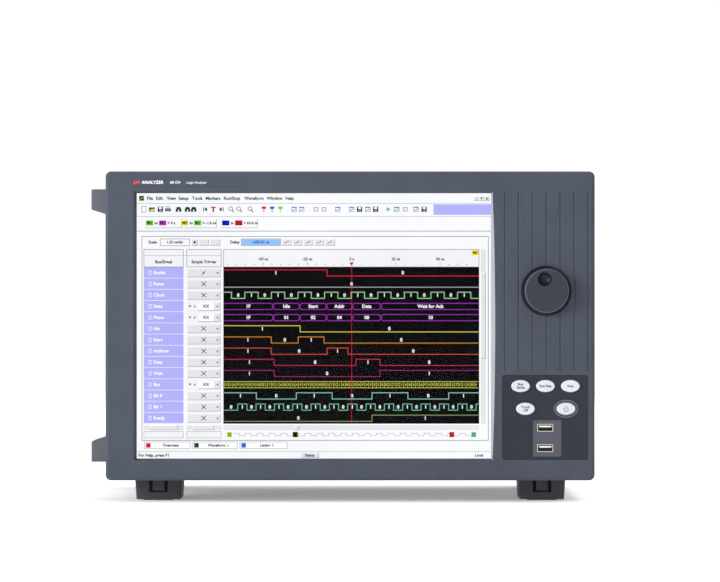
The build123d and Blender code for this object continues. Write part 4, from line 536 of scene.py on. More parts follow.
def bake_modifiers(piece):
    """Turns a piece with its modifiers into a plain mesh."""
    graph = bpy.context.evaluated_depsgraph_get()
    mesh = bpy.data.meshes.new_from_object(piece.evaluated_get(graph), depsgraph=graph)
    piece.modifiers.clear()
    piece.data = mesh


def add_bevel(piece, width_mm, sharper_than):
    """Will round the edges that are sharper than an angle."""
    bevel = piece.modifiers.new("rounding", "BEVEL")
    bevel.width = width_mm * MM
    bevel.segments = 2
    bevel.limit_method = "ANGLE"
    bevel.angle_limit = sharper_than
    return bevel


def skin_area(mesh):
    """The area that a mesh's faces cover once they are cut into triangles."""
    mesh.calc_loop_triangles()
    return sum(triangle.area for triangle in mesh.loop_triangles)


def rounded_piece(node, rounding_mm, most_corners):
    """A copy of a CAD node with its sharp edges rounded and its curves smooth."""
    mesh = cleaned_mesh(node, most_corners)
    mesh.materials.clear()
    mesh.materials.append(FINISH_OF[node])
    mesh.shade_smooth()
    mesh.set_sharp_from_angle(angle=SMOOTH_UNDER)
    piece = linked_object(node + "_finished", mesh)
    add_bevel(piece, rounding_mm, SMOOTH_UNDER).miter_outer = "MITER_ARC"
    weighting = piece.modifiers.new("weighting", "WEIGHTED_NORMAL")
    weighting.keep_sharp = True
    bake_modifiers(piece)
    return piece


def finish_piece(node, rounding_mm):
    """Stands for a CAD node with a rounded copy.

    Rounding can tear a face of many corners. The skin's area then grows, and smaller faces are tried.
    """
    bare_area = skin_area(NODES[node].data)
    for most_corners in FACE_CORNERS:
        piece = rounded_piece(node, rounding_mm, most_corners)
        if skin_area(piece.data) < bare_area * AREA_GROWTH:
            break
        if most_corners != FACE_CORNERS[-1]:
            bpy.data.objects.remove(piece)
    piece.name = node + "_finished"
    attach(piece, BODY_OF[node])
    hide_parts(node)


def paint_faces(piece, finish, chosen):
    """Gives another finish to the faces whose centre and normal pass the test."""
    piece.data.materials.append(finish)
    index = len(piece.data.materials) - 1
    for face in piece.data.polygons:
        if chosen(face.center, face.normal):
            face.material_index = index


def paint_details():
    """Painted light on the wall right of the display, bright steel on the rims of the port shells painted
    dark as shade, painted shade in the knob's dimple and a painted highlight on its rim.
    """
    glass_low, glass_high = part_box("touch_glass")
    wall_y = glass_low[1] - WALL_AHEAD * MM
    wall_from, wall_to = (glass_high[0] + reach * MM for reach in WALL_BAND)
    # painted light: the bezel's wall right of the display gets a pale grey
    paint_faces(
        bpy.data.objects["front_bezel_finished"],
        wall_painted_light(),
        lambda centre, normal: normal.x < -0.3 and centre.y < wall_y and wall_from < centre.x < wall_to
        and glass_low[2] < centre.z < glass_high[2],
    )
    # the shells are painted dark as shade inside the ports; their front rims get bright steel
    port_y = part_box("usb_shells")[0][1] + PORT_LIP * MM
    paint_faces(
        bpy.data.objects["usb_shells_finished"],
        FINISHES["bright_steel"],
        lambda centre, normal: normal.y < -0.3 and centre.y < port_y,
    )
    knob = bpy.data.objects["selector_knob_finished"]
    low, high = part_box("selector_knob")
    axis_x, axis_z = (low[0] + high[0]) / 2, (low[2] + high[2]) / 2
    dimple_from, dimple_to = (low[1] + depth * MM for depth in DIMPLE_DEPTHS)
    # painted shade in the knob's dimple
    paint_faces(
        knob,
        dimple_painted_shade(),
        lambda centre, normal: normal.y < 0 and dimple_from < centre.y < dimple_to
        and math.hypot(centre.x - axis_x, centre.z - axis_z) < DIMPLE_REACH * MM,
    )
    # painted highlight on the knob's rim
    paint_faces(
        knob,
        rim_painted_highlight(),
        lambda centre, normal: RIM_TURN[0] < normal.y < RIM_TURN[1]
        and math.hypot(centre.x - axis_x, centre.z - axis_z) > RIM_REACH * MM,
    )


def finish_nodes():
    """Every node gets its own finish, and the visible ones rounded edges."""
    for node, piece in NODES.items():
        for slot in piece.material_slots:
            slot.material = FINISH_OF[node]
    for node, rounding_mm in EDGE_ROUNDING.items():
        finish_piece(node, rounding_mm)
    paint_details()


# ---------------------------------------------------------------- flat graphics
LAYER = 0.02 * MM         # from one layer of ink to the next


class Sheet:
    """Flat coloured shapes on an upright plane, in millimetres right and down from a corner.

    The corner is the upper left one as the reader sees it. A sheet faces -y if front, else +y.
    A shape on a higher layer hides what is behind it.
    """

    def __init__(self, left, top, y, front=True):
        self.left, self.top, self.y = left, top, y
        self.across = 1 if front else -1
        self.step = -self.across * LAYER
        self.points, self.faces, self.face_inks, self.inks = [], [], [], []

    def shape(self, ink, outlines, layer):
        """Closed outlines in one ink."""
        if ink not in self.inks:
            self.inks.append(ink)
        for outline in outlines:
            first = len(self.points)
            for x, down in outline:
                place = (self.left + self.across * x * MM, self.y + self.step * layer, self.top - down * MM)
                self.points.append(place)
            self.faces.append(tuple(range(first, first + len(outline))))
            self.face_inks.append(self.inks.index(ink))

    def area(self, ink, x0, y0, x1, y1, layer=1):
        self.shape(ink, [[(x0, y1), (x1, y1), (x1, y0), (x0, y0)]], layer)

    def frame(self, ink, x0, y0, x1, y1, width, layer=2):
        self.area(ink, x0, y0, x1, y0 + width, layer)
        self.area(ink, x0, y1 - width, x1, y1, layer)
        self.area(ink, x0, y0, x0 + width, y1, layer)
        self.area(ink, x1 - width, y0, x1, y1, layer)

    def polygon(self, ink, points, layer=3):
        """A closed outline, given anticlockwise as the reader sees it."""
        self.shape(ink, [points], layer)

    def stroke(self, ink, x0, y0, x1, y1, width, layer=3):
        """A straight line with square ends."""
        length = math.hypot(x1 - x0, y1 - y0)
        ax, ay = (x1 - x0) / length * width / 2, (y1 - y0) / length * width / 2
        ends = [(x0 - ax - ay, y0 - ay + ax), (x1 + ax - ay, y1 + ay + ax)]
        ends += [(x1 + ax + ay, y1 + ay - ax), (x0 - ax + ay, y0 - ay - ax)]
        self.shape(ink, [ends], layer)

    def ring(self, ink, x, y, rx, ry, width, layer=3, start=0, end=360, steps=48):
        """Part of an oval band. Angles run anticlockwise from the right."""
        angles = [math.radians(start + (end - start) * i / steps) for i in range(steps + 1)]
        outer = [(x + rx * math.cos(a), y - ry * math.sin(a)) for a in angles]
        inner = [(x + (rx - width) * math.cos(a), y - (ry - width) * math.sin(a)) for a in angles]
        quads = [[inner[i], outer[i], outer[i + 1], inner[i + 1]] for i in range(steps)]
        self.shape(ink, quads, layer)

    def words(self, ink, text, x, y, size, layer=4, align="CENTER", weight=0.13):
        """Text centred on height y, its middle or left end at x."""
        curve = bpy.data.curves.new("letters", "FONT")
        curve.body = text
        curve.size = size
        curve.align_x = align
        curve.align_y = "CENTER"
        curve.resolution_u = 2
        curve.offset = weight
        letters = bpy.data.objects.new("letters", curve)
        mesh = letters.to_mesh()
        corners = [(x + v.co.x, y - v.co.y) for v in mesh.vertices]
        self.shape(ink, [[corners[i] for i in face.vertices] for face in mesh.polygons], layer)
        letters.to_mesh_clear()
        bpy.data.objects.remove(letters)
        bpy.data.curves.remove(curve)

    def make(self, name, materials, body="case"):
        """Turns the sheet into a piece that moves with a body."""
        mesh = bpy.data.meshes.new(name)
        mesh.from_pydata(self.points, [], self.faces)
        for ink in self.inks:
            mesh.materials.append(materials[ink])
        mesh.polygons.foreach_set("material_index", self.face_inks)
        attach(linked_object(name, mesh), body)


SCREEN_COLOURS = {
    "black": "#050506",
    "text": "#1c1c20",
    "white": "#ffffff",
    "panel": "#f0f0f2",
    "shade": "#88888e",
    "button": "#e2e2e5",
    "line": "#5c5c62",
    "lavender": "#b0b0f4",
    "blue": "#3a5fd0",
    "pale_blue": "#8fc0f4",
    "deep_blue": "#0c10b8",
    "deep_red": "#c00c18",
    "dark_green": "#1f3a14",
    "green": "#6fd022",
    "magenta": "#c23fc0",
    "yellow": "#f0e020",
    "lime": "#b4d420",
    "red": "#d02030",
    "crimson": "#e02040",
    "silver": "#b0b0b0",
    "mint": "#9fdc9f",
    "purple": "#9a2fb0",
    "straw": "#d8d860",
    "orange": "#d88a30",
    "brick": "#d0503c",
    "rose": "#c02850",
    "plum": "#a02070",
    "olive_green": "#b8b84c",
    "aqua": "#8fd0b0",
    "jade": "#70c8a0",
    "moss": "#8a9a60",
}

# The display's picture is laid out in millimetres right and down from the opening's upper left corner.
SCREEN_W = 308.8
SCREEN_H = 231.2
MENU = {
    "File": 8.5, "Edit": 16.5, "View": 26.1, "Setup": 36.2, "Tools": 48.1, "Markers": 59.8,
    "Run/Stop": 75.6, "Waveform": 93.7, "Window": 113.1, "Help": 129.4,
}
TOOLBAR = {
    6.0: "page", 13.2: "folder", 20.4: "disc", 27.0: "printer", 36.3: "glass", 44.1: "glass", 49.5: "glass",
    59.7: "start", 66.6: "trigger", 73.5: "end", 82.2: "lens", 89.1: "lens", 99.0: "lens", 110.7: "marker",
    117.9: "marker", 125.1: "marker", 137.1: "chart", 143.7: "chart", 156.1: "pale", 163.3: "pale",
    175.3: "chart", 187.3: "chart", 194.2: "disc", 201.4: "chart", 208.3: "disc", 219.4: "run",
    226.6: "chart", 234.1: "pale", 243.4: "chart", 250.6: "disc",
}
TOOLBAR_Y = 13.9
MARKER_INKS = {110.7: "red", 117.9: "blue", 125.1: "green"}

NAME_X = (5.8, 40.6)      # columns of the waveform table
TRIGGER_X = (43.2, 73.7)
WAVE_X = (75.4, 298.6)
HEADER_Y = (48.7, 64.4)
ROWS_Y = (64.4, 201.0)
ROW_COUNT = 14
ROW = (ROWS_Y[1] - ROWS_Y[0]) / ROW_COUNT
HIGH = 2.3                # a trace's two levels below its row's top
LOW = 7.7
TRACE = 0.62
VALUE = 4.2               # height of the letters on a trace
RULER_FIRST = 110.1
RULER_STEP = 38.6
ZERO_X = RULER_FIRST + 2 * RULER_STEP
BUS_EDGES = [118.9, 142.0, 165.4, 188.0, 212.9]
OVERVIEW_Y = (209.4, 211.6)
OVERVIEW_STEP = 5.2
STATES = ("1F", "Idle", "Start", "Addr", "Data", "Wait for Ack")
COUNTS = ("1F", "01", "02", "04", "08", "10")

# Each row: name, ink and kind, then its edges and whether it starts high, or its edges and labels,
# or the pitch of a dense bus.
ROWS = [
    ("Enable", "crimson", "wave", [165.9], True),
    ("Reset", "silver", "wave", [], False),
    ("Clock", "mint", "wave", [82.5 + 11.6 * i for i in range(19)], True),
    ("State", "purple", "bus", BUS_EDGES, STATES),
    ("Phase", "purple", "bus", BUS_EDGES, COUNTS),
    ("Idle", "straw", "wave", [142.4], True),
    ("Start", "orange", "wave", [117.2, 140.7, 163.3], True),
    ("Address", "brick", "wave", [117.2, 165.9, 184.2], True),
    ("Data", "rose", "wave", [119.8, 191.1, 212.0], True),
    ("Wait", "plum", "wave", [119.8, 212.0], True),
    ("Bus", "olive_green", "dense", 3.4, None),
    ("Bit 0", "aqua", "wave", [104.1, 139.0, 170.3, 205.1, 236.4, 272.0], True),
    ("Bit 1", "jade", "wave", [87.9 + 8.0 * i for i in range(27)], False),
    ("Ready", "moss", "wave", [205.1], False),
]


def toolbar_icon(sheet, x, kind):
    """A small sign about 5 mm across."""
    y = TOOLBAR_Y
    if kind == "page":
        sheet.area("text", x - 2.0, y - 2.6, x + 2.0, y + 2.6, 2)
        sheet.area("white", x - 1.6, y - 2.2, x + 1.6, y + 2.2, 3)
    elif kind == "folder":
        sheet.area("black", x - 2.6, y - 1.6, x + 2.4, y + 2.0, 2)
        flap = [(x - 2.0, y + 1.6), (x + 2.0, y + 1.6), (x + 2.8, y - 0.4), (x - 1.0, y - 0.4)]
        sheet.polygon("straw", flap)
    elif kind == "disc":
        sheet.area("text", x - 2.3, y - 2.3, x + 2.3, y + 2.3, 2)
        sheet.area("white", x - 1.3, y - 1.9, x + 1.3, y - 0.2, 3)
        sheet.area("silver", x - 0.9, y + 0.7, x + 1.3, y + 1.9, 3)
    elif kind == "printer":
        sheet.area("shade", x - 2.6, y - 0.6, x + 2.6, y + 1.8, 2)
        sheet.frame("text", x - 2.6, y - 0.6, x + 2.6, y + 1.8, 0.5, 3)
        sheet.frame("text", x - 1.6, y - 2.5, x + 1.6, y - 0.4, 0.4, 4)
    elif kind == "glass":
        sheet.area("text", x - 2.4, y - 0.6, x - 0.5, y + 2.2, 2)
        sheet.area("text", x + 0.5, y - 0.6, x + 2.4, y + 2.2, 2)
        sheet.area("text", x - 1.7, y - 2.0, x + 1.7, y + 0.2, 2)
    elif kind == "start":
        sheet.polygon("text", [(x - 1.2, y), (x + 1.4, y + 1.9), (x + 1.4, y - 1.9)])
        sheet.area("text", x - 2.0, y - 1.9, x - 1.3, y + 1.9, 2)
    elif kind == "end":
        sheet.polygon("text", [(x - 1.4, y + 1.9), (x + 1.2, y), (x - 1.4, y - 1.9)])
        sheet.area("text", x + 1.3, y - 1.9, x + 2.0, y + 1.9, 2)
    elif kind == "trigger":
        sheet.area("red", x - 2.1, y - 2.3, x + 2.1, y - 1.1, 2)
        sheet.area("red", x - 0.7, y - 2.3, x + 0.7, y + 2.4, 3)
    elif kind == "lens":
        sheet.ring("text", x - 0.5, y - 0.5, 1.9, 1.9, 0.5, steps=20)
        sheet.stroke("text", x + 0.9, y + 0.9, x + 2.2, y + 2.2, 0.7)
    elif kind == "marker":
        ink = MARKER_INKS[x]
        sheet.area(ink, x - 0.4, y - 2.4, x + 0.4, y + 2.4, 2)
        sheet.area(ink, x - 2.0, y - 2.4, x + 2.0, y - 0.4, 3)
    elif kind == "run":
        sheet.polygon("jade", [(x - 1.7, y + 2.2), (x + 2.2, y), (x - 1.7, y - 2.2)])
    elif kind == "chart":
        sheet.frame("blue", x - 2.3, y - 2.1, x + 2.3, y + 2.1, 0.4, 2)
        sheet.area("blue", x - 2.3, y - 2.1, x + 2.3, y - 1.2, 3)
        sheet.stroke("text", x - 1.5, y + 1.1, x + 1.5, y - 0.3, 0.5)
    else:
        sheet.area("shade", x - 2.0, y - 1.8, x + 2.0, y + 1.8, 2)
        sheet.area("panel", x - 1.4, y - 1.2, x + 1.4, y + 1.2, 3)


def raised_button(sheet, x0, y0, x1, y1):
    """A button drawn with a light upper edge and a dark lower one."""
    sheet.area("shade", x0, y0, x1, y1, 2)
    sheet.area("white", x0, y0, x1 - 0.4, y1 - 0.4, 3)
    sheet.area("button", x0 + 0.4, y0 + 0.4, x1 - 0.4, y1 - 0.4, 4)


def draw_bars(sheet):
    """Menu, toolbar, marker chips, and the scale and delay row."""
    sheet.area("dark_green", 2.0, 2.2, 6.0, 6.4)
    sheet.stroke("lime", 3.0, 5.2, 5.0, 3.4, 0.5)
    for word, x in MENU.items():
        sheet.words("text", word, x, 4.4, 3.9, align="LEFT")
    for i in range(3):
        raised_button(sheet, 293.8 + 4.7 * i, 2.4, 298.0 + 4.7 * i, 6.6)
        sheet.words("text", "-+x"[i], 295.9 + 4.7 * i, 4.4, 3.4, 6)
    sheet.area("shade", 0, 8.7, SCREEN_W, 9.0)
    for x, kind in TOOLBAR.items():
        toolbar_icon(sheet, x, kind)
    sheet.area("lavender", 258.7, 9.6, SCREEN_W + 1.0, 18.7)
    sheet.area("shade", 0, 20.0, SCREEN_W, 20.3)
    chips = [
        (7.8, "green", "M1", "magenta", "M2", "= 0 s"),
        (38.4, "yellow", "M3", "green", "M1", "= -1.6 ns"),
        (74.2, "deep_blue", "", "deep_red", "", "= 63.6 ns"),
    ]
    for x, ink, name, other_ink, other, value in chips:
        sheet.area(ink, x, 23.6, x + 6.4, 28.0, 2)
        sheet.words("text", name, x + 3.2, 25.8, 3.6)
        sheet.words("text", "to", x + 9.0, 25.9, 3.4)
        sheet.area(other_ink, x + 11.4, 23.6, x + 17.8, 28.0, 2)
        sheet.words("text", other, x + 14.6, 25.8, 3.6)
        sheet.words("text", value, x + 18.8, 25.9, 3.3, align="LEFT")
        sheet.area("shade", x - 1.0, 29.9, x + 31.0, 30.3)
        sheet.area("shade", x + 30.6, 22.4, x + 31.0, 30.3)
    sheet.area("line", 0, 32.7, SCREEN_W, 33.2)
    sheet.frame("line", 4.1, 37.4, 306.8, 215.8, 0.45, 1)
    sheet.words("text", "Scale", 13.6, 42.6, 3.6)
    sheet.frame("line", 20.1, 39.6, 46.2, 45.9, 0.4, 1)
    sheet.words("text", "1.25 ns/div", 33.0, 42.6, 3.3)
    for x0, x1 in ((47.6, 53.1), (54.0, 62.7), (63.6, 72.6)):
        raised_button(sheet, x0, 39.8, x1, 45.6)
    sheet.area("text", 49.4, 41.6, 51.2, 43.6, 6)
    sheet.words("text", "Delay", 85.4, 42.6, 3.6)
    sheet.frame("line", 90.9, 39.6, 125.7, 45.9, 0.4, 1)
    sheet.area("pale_blue", 91.5, 40.2, 125.1, 45.3, 2)
    sheet.words("blue", "-638.62 ns", 108.0, 42.6, 3.6)
    for i in range(5):
        raised_button(sheet, 126.2 + 9.5 * i, 39.8, 134.8 + 9.5 * i, 45.6)
        sheet.stroke("text", 128.6 + 9.5 * i, 43.6, 132.2 + 9.5 * i, 41.8, 0.5, 6)


def draw_header(sheet):
    """Column headings and the time ruler."""
    for x0, x1 in (NAME_X, TRIGGER_X, WAVE_X):
        sheet.area("panel", x0, HEADER_Y[0], x1, HEADER_Y[1])
        sheet.frame("line", x0, HEADER_Y[0], x1, HEADER_Y[1], 0.4)
    sheet.area("shade", NAME_X[0], 54.2, TRIGGER_X[1], 54.5, 3)
    sheet.words("text", "Bus/Signal", 23.2, 59.9, 3.7)
    sheet.words("text", "Simple Trigger", 58.4, 59.9, 3.7)
    labels = ("-50 ns", "-25 ns", "0 s", "25 ns", "50 ns")
    for i, label in enumerate(labels):
        sheet.words("text", label, RULER_FIRST + RULER_STEP * i, 57.4, 3.4)
    tick = RULER_STEP / 5
    before = int((RULER_FIRST - WAVE_X[0]) / tick)
    for i in range(int((WAVE_X[1] - WAVE_X[0]) / tick)):
        x = RULER_FIRST + (i - before) * tick
        tall = (i - before) % 5 == 0
        sheet.area("text", x - 0.2, 60.0 if tall else 61.2, x + 0.2, 62.8)
    sheet.polygon("red", [(ZERO_X, 63.4), (ZERO_X + 2.0, 60.2), (ZERO_X - 2.0, 60.2)])
    sheet.area("yellow", 292.1, 49.6, 298.2, 54.0, 3)
    sheet.words("text", "M3", 295.1, 51.8, 3.2)


def draw_trace(sheet, top, ink, edges, high):
    """A square wave across the row, with its level written in every stretch."""
    x = WAVE_X[0] + 1.0
    stops = [edge for edge in edges if edge < WAVE_X[1] - 1.0] + [WAVE_X[1] - 0.6]
    for stop in stops:
        level = top + (HIGH if high else LOW)
        sheet.stroke(ink, x, level, stop, level, TRACE)
        if stop - x > 7.0:
            middle = top + (HIGH + LOW) / 2
            sheet.words("white", "1" if high else "0", (x + stop) / 2, middle, VALUE, weight=0.14)
        if stop != stops[-1]:
            sheet.stroke(ink, stop, top + HIGH, stop, top + LOW, TRACE)
        x = stop
        high = not high


def draw_bus(sheet, top, ink, edges, labels):
    """A bus: two levels that cross at every change, with its value written between."""
    slant = 1.3
    stops = [WAVE_X[0] + 1.0, *edges, WAVE_X[1] - 0.6]
    for i in range(len(stops) - 1):
        x0 = stops[i] + (slant if i else 0)
        x1 = stops[i + 1] - (slant if i < len(stops) - 2 else 0)
        for level in (HIGH, LOW):
            sheet.stroke(ink, x0, top + level, x1, top + level, TRACE)
        if i < len(edges):
            edge = stops[i + 1]
            sheet.stroke(ink, edge - slant, top + HIGH, edge + slant, top + LOW, TRACE)
            sheet.stroke(ink, edge - slant, top + LOW, edge + slant, top + HIGH, TRACE)
        sheet.words("white", labels[i], (x0 + x1) / 2, top + (HIGH + LOW) / 2, VALUE, weight=0.12)


def draw_dense_bus(sheet, top, ink, pitch):
    """A bus that changes too often for its values to be read easily."""
    count = int((WAVE_X[1] - WAVE_X[0] - 2) / pitch)
    x0 = WAVE_X[0] + 1.0
    for level in (HIGH, LOW):
        sheet.stroke(ink, x0, top + level, x0 + count * pitch, top + level, TRACE)
    for i in range(count):
        x = x0 + i * pitch
        sheet.stroke(ink, x, top + HIGH, x, top + LOW, TRACE * 0.8)
        digit = "0123456789ABCDEF"[i * 5 % 16]
        sheet.words("olive_green", digit, x + pitch / 2, top + (HIGH + LOW) / 2, 3.0)


def draw_trigger(sheet, top, edge, kind):
    """A row's trigger control: one wide button for a signal, two fields for a bus."""
    middle = top + ROW / 2
    x0, x1 = TRIGGER_X
    low, high = top + 1.2, top + ROW - 1.0
    sheet.words("text", "v", x1 - 3.4, middle, 3.4, 6, weight=0.12)
    if kind == "wave":
        raised_button(sheet, x0 + 0.5, low, x1 - 0.9, high)
    else:
        sheet.words("text", "=", x0 + 3.0, middle, 4.0, 6, weight=0.12)
        sheet.words("text", "v", x0 + 7.2, middle, 3.2, 6, weight=0.12)
        raised_button(sheet, x0 + 10.0, low, x1 - 0.9, high)
        sheet.area("white", x0 + 10.8, low + 0.8, x1 - 6.6, high - 0.8, 5)
        sheet.words("text", "XX", x0 + 17.0, middle, 3.8, 6)
        return
    if edge:
        sheet.polygon("text", [(56.0, middle + 2.2), (59.6, middle - 0.2), (57.8, middle - 0.2)], 6)
        sheet.polygon("text", [(56.8, middle + 0.4), (58.4, middle + 0.4), (60.2, middle - 2.2)], 6)
        return
    for rise in (-1.7, 1.7):
        sheet.stroke("text", 56.4, middle - rise, 60.0, middle + rise, 0.6, 6)


def draw_rows(sheet):
    """Names, trigger buttons and traces."""
    sheet.area("lavender", NAME_X[0], ROWS_Y[0], NAME_X[1], ROWS_Y[1])
    sheet.area("panel", TRIGGER_X[0], ROWS_Y[0], TRIGGER_X[1], ROWS_Y[1])
    sheet.area("black", WAVE_X[0], ROWS_Y[0], WAVE_X[1], ROWS_Y[1])
    for i, (name, ink, kind, detail, more) in enumerate(ROWS):
        top = ROWS_Y[0] + ROW * i
        middle = top + ROW / 2
        sheet.area("white", NAME_X[0], top + ROW - 0.35, NAME_X[1], top + ROW, 2)
        sheet.frame("white", 10.2, middle - 1.7, 12.6, middle + 1.7, 0.4)
        sheet.words("white", name, 14.4, middle, 4.0, align="LEFT", weight=0.1)
        draw_trigger(sheet, top, i == 0, kind)
        if kind == "wave":
            draw_trace(sheet, top, ink, detail, more)
        elif kind == "bus":
            draw_bus(sheet, top, ink, detail, more)
        else:
            draw_dense_bus(sheet, top, ink, detail)
    sheet.area("red", ZERO_X - 0.2, ROWS_Y[0], ZERO_X + 0.2, ROWS_Y[1], 5)


def draw_foot(sheet):
    """Scroll bars, overview line, tabs and status bar."""
    sheet.area("button", 300.0, HEADER_Y[0], 304.4, ROWS_Y[1])
    raised_button(sheet, 300.0, 69.2, 304.4, 144.2)
    sliders = ((NAME_X, 11.1, 35.7), (TRIGGER_X, 48.6, 67.2), (WAVE_X, 137.1, 141.6))
    for (x0, x1), slider_x0, slider_x1 in sliders:
        sheet.area("button", x0, 202.4, x1, 206.6)
        raised_button(sheet, slider_x0, 202.4, slider_x1, 206.6)
    for x0, x1 in (NAME_X, TRIGGER_X):
        sheet.area("panel", x0, 207.6, x1, 213.6)
        sheet.frame("shade", x0, 207.6, x1, 213.6, 0.35)
    x = 84.0
    high = True
    while x < 291.0:
        level = OVERVIEW_Y[0] if high else OVERVIEW_Y[1]
        sheet.stroke("shade", x, level, x + OVERVIEW_STEP, level, 0.35)
        x += OVERVIEW_STEP
        sheet.stroke("shade", x, OVERVIEW_Y[0], x, OVERVIEW_Y[1], 0.35)
        high = not high
    for x, ink in ((80.7, "lime"), (138.1, "black"), (274.7, "red"), (293.8, "jade")):
        sheet.area(ink, x - 2.1, 208.2, x + 2.1, 212.8, 5)
        sheet.frame("text", x - 1.2, 209.2, x + 1.2, 211.8, 0.5, 6)
        if ink == "black":
            sheet.area("yellow", x + 2.1, 208.2, x + 2.9, 212.8, 5)
    tabs = (
        (6.5, 46.5, "Overview", "red"),
        (48.5, 87.6, "Waveform 1", "dark_green"),
        (89.7, 131.1, "Listing 1", "blue"),
    )
    for x0, x1, label, ink in tabs:
        sheet.area("white", x0, 216.8, x1, 223.0)
        sheet.frame("shade", x0, 216.8, x1, 223.0, 0.4)
        sheet.area(ink, x0 + 1.4, 217.9, x0 + 5.4, 221.9, 3)
        sheet.words("text", label, (x0 + x1) / 2 + 3.0, 219.9, 3.6)
    sheet.area("shade", 0, 225.2, SCREEN_W, 225.5)
    sheet.words("text", "For Help, press F1", 1.2, 228.6, 3.6, align="LEFT")
    raised_button(sheet, 142.6, 226.4, 158.8, 230.8)
    sheet.words("text", "Status", 150.7, 228.6, 3.4, 6)
    sheet.words("text", "Local", 298.6, 228.6, 3.4)


def display_picture():
    """The waveform window that the display shows, between the touch glass and the cell."""
    colours = {name: lit_colour("display_" + name, code) for name, code in SCREEN_COLOURS.items()}
    glass_low, glass_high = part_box("touch_glass")
    left = (glass_low[0] + glass_high[0] - SCREEN_W * MM) / 2
    top = (glass_low[2] + glass_high[2] + SCREEN_H * MM) / 2
    sheet = Sheet(left, top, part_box("display_cell")[0][1])
    draw_bars(sheet)
    draw_header(sheet)
    draw_rows(sheet)
    draw_foot(sheet)
    sheet.make("display_picture", colours)


# ---------------------------------------------------------------- printed marks
KEY_LINE = 2.9            # between the lines of a key's legend, in mm
POD_W = 56.0              # width of one pod socket
JACK_W = 14.8             # width of one coaxial jack
POD_LEGEND = 5.5          # how far each legend's middle lies from its socket
JACK_LEGEND = 3.5
MAINS_LEGEND = 5.0


def front_marks():
    """The name on the bezel, the key legends and the line round the power button's ring."""
    inks = {
        "white": printing_ink("white_ink", "#e4e6ea"),
        "red": printing_ink("red_ink", "#d8353c"),
        "dark": printing_ink("dark_ink", "#2c2e35"),
        "grey": printing_ink("grey_ink", "#59626b"),
    }
    low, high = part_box("nameplate")
    plate = Sheet(low[0], high[2], low[1])
    for i in range(3):
        x = 0.9 + 2.0 * i
        plate.stroke("red", x, 6.7 - 0.5 * i, x + 1.3, 4.0 + 0.2 * i, 0.8)
    plate.words("white", "ANALYZER", 8.0, 5.3, 3.8, align="LEFT", weight=0.07)
    plate.words("white", "68 CH", 32.5, 5.3, 3.3, align="LEFT", weight=0.04)
    plate.words("white", "Logic Analyzer", 46.8, 5.4, 3.0, align="LEFT", weight=0.0)
    plate.make("nameplate_print", inks)

    legends = {
        "run_single_button": ("Run", "Single"),
        "run_repeat_button": ("Run Rep",),
        "stop_button": ("Stop",),
        "touch_lock_button": ("Touch", "Off"),
        "power_button": (),
    }
    for node, lines in legends.items():
        low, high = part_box(node)
        legend = Sheet((low[0] + high[0]) / 2, (low[2] + high[2]) / 2, low[1])
        for i, line in enumerate(lines):
            legend.words("dark", line, 0, (i - (len(lines) - 1) / 2) * KEY_LINE, 3.0, 1, weight=0.1)
        if not lines:
            legend.ring("dark", 0, 0.5, 2.1, 2.1, 0.5, 1, 125, 415)
            legend.area("dark", -0.25, -2.6, 0.25, 0.1, 2)
        legend.make(node + "_legend", inks, node)

    low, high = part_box("power_ring")
    line = Sheet((low[0] + high[0]) / 2, (low[2] + high[2]) / 2, low[1])
    half_w = (high[0] - low[0]) / 2 / MM
    half_h = (high[2] - low[2]) / 2 / MM
    line.ring("grey", 0, 0, half_w - 0.3, half_h - 0.3, 0.6, 1, steps=72)
    line.ring("grey", 0, 0, half_w - 1.9, half_h - 1.9, 0.3, 1, steps=72)
    line.make("power_ring_line", inks)


def rear_marks():
    """Plain legends beside the sockets at the rear."""
    inks = {"white": printing_ink("panel_ink", "#d5d7da")}
    panel_low, panel_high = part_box("rear_panel")
    sheet = Sheet(panel_high[0], panel_high[2], panel_high[1], front=False)

    def across(x):
        return (panel_high[0] - x) / MM

    def down(z):
        return (panel_high[2] - z) / MM

    low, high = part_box("pod_socket_shells")
    pitch = (high[0] - low[0] - POD_W * MM) / 3
    for i in range(4):
        centre = low[0] + POD_W * MM / 2 + pitch * i
        sheet.words("white", f"POD {i + 1}", across(centre), down(high[2]) - POD_LEGEND, 4.2, 1)
    low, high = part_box("bnc_jacks")
    pitch = (high[0] - low[0] - JACK_W * MM) / 2
    for i, label in enumerate(("CLOCK IN", "TRIG OUT", "TRIG IN")):
        centre = low[0] + JACK_W * MM / 2 + pitch * i
        sheet.words("white", label, across(centre), down(high[2]) - JACK_LEGEND, 3.2, 1)
    low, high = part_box("power_inlet")
    centre = across((low[0] + high[0]) / 2)
    sheet.words("white", "100-240 V  50/60 Hz  250 W", centre, down(low[2]) + MAINS_LEGEND, 3.0, 1)
    sheet.make("rear_panel_print", inks)


# ---------------------------------------------------------------- ribbed strap
def socket_name(tree, label):
    """The identifier of a modifier input with this label."""
    return next(item.identifier for item in tree.interface.items_tree if item.name == label)


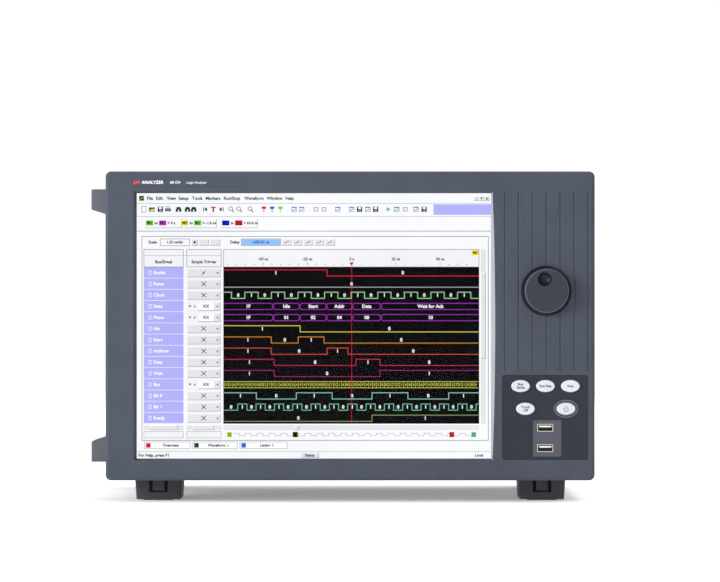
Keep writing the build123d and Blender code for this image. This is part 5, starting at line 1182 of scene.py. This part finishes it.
def ribs_tree():
    """Joins a row of ribs along y to the mesh that comes in."""
    tree = bpy.data.node_groups.new("strap_ribs", "GeometryNodeTree")
    tree.interface.new_socket("Mesh", in_out="INPUT", socket_type="NodeSocketGeometry")
    tree.interface.new_socket("Count", in_out="INPUT", socket_type="NodeSocketInt")
    for label in ("First rib", "Last rib", "Rib size"):
        tree.interface.new_socket(label, in_out="INPUT", socket_type="NodeSocketVector")
    tree.interface.new_socket("Finish", in_out="INPUT", socket_type="NodeSocketMaterial")
    tree.interface.new_socket("Mesh", in_out="OUTPUT", socket_type="NodeSocketGeometry")
    given = add_node(tree, "NodeGroupInput")
    row = add_node(
        tree,
        "GeometryNodeMeshLine",
        {"mode": "END_POINTS"},
        {"Count": given.outputs["Count"], "Start Location": given.outputs["First rib"],
         "Offset": given.outputs["Last rib"]},
    )
    rib = add_node(tree, "GeometryNodeMeshCube", {}, {"Size": given.outputs["Rib size"]})
    ribs = add_node(
        tree,
        "GeometryNodeInstanceOnPoints",
        {},
        {"Points": row.outputs["Mesh"], "Instance": rib.outputs["Mesh"]},
    )
    real = add_node(tree, "GeometryNodeRealizeInstances", {}, {"Geometry": ribs.outputs["Instances"]})
    joined = add_node(tree, "GeometryNodeJoinGeometry")
    tree.links.new(real.outputs["Geometry"], joined.inputs["Geometry"])
    tree.links.new(given.outputs["Mesh"], joined.inputs["Geometry"])
    coated = add_node(
        tree,
        "GeometryNodeSetMaterial",
        {},
        {"Geometry": joined.outputs["Geometry"], "Material": given.outputs["Finish"]},
    )
    add_node(tree, "NodeGroupOutput", {}, {"Mesh": coated.outputs["Geometry"]})
    return tree


RIB_SIZE = (0.9 * MM, 1.6 * MM, 20.0 * MM)
RIB_PITCH = 3.4 * MM
RIB_MARGIN = 17.0 * MM    # plain strap at each end
RIB_LIFT = 0.05 * MM      # from the strap's outermost face to the ribs' middles


def ribbed_strap():
    """The strap with moulded cross ribs on its outer face, between the two caps."""
    low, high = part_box("handle_strap")
    count = int((high[1] - low[1] - 2 * RIB_MARGIN) / RIB_PITCH) + 1
    x = high[0] + RIB_LIFT
    z = (low[2] + high[2]) / 2
    piece = linked_object("handle_strap_ribbed", cleaned_mesh("handle_strap", FACE_CORNERS[0]))
    tree = ribs_tree()
    ribs = piece.modifiers.new("ribs", "NODES")
    ribs.node_group = tree
    settings = {
        "Count": count,
        "First rib": (x, low[1] + RIB_MARGIN, z),
        "Last rib": (x, high[1] - RIB_MARGIN, z),
        "Rib size": RIB_SIZE,
        "Finish": FINISH_OF["handle_strap"],
    }
    for label, value in settings.items():
        ribs[socket_name(tree, label)] = value
    add_bevel(piece, 0.3, math.radians(40))
    bake_modifiers(piece)
    piece.data.shade_smooth()
    piece.data.set_sharp_from_angle(angle=math.radians(50))
    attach(piece, BODY_OF["handle_strap"])
    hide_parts("handle_strap")


make_camera()
make_lights()
make_floor()
finish_nodes()
display_picture()
front_marks()
rear_marks()
ribbed_strap()
bpy.context.scene.view_settings.view_transform = "Standard"
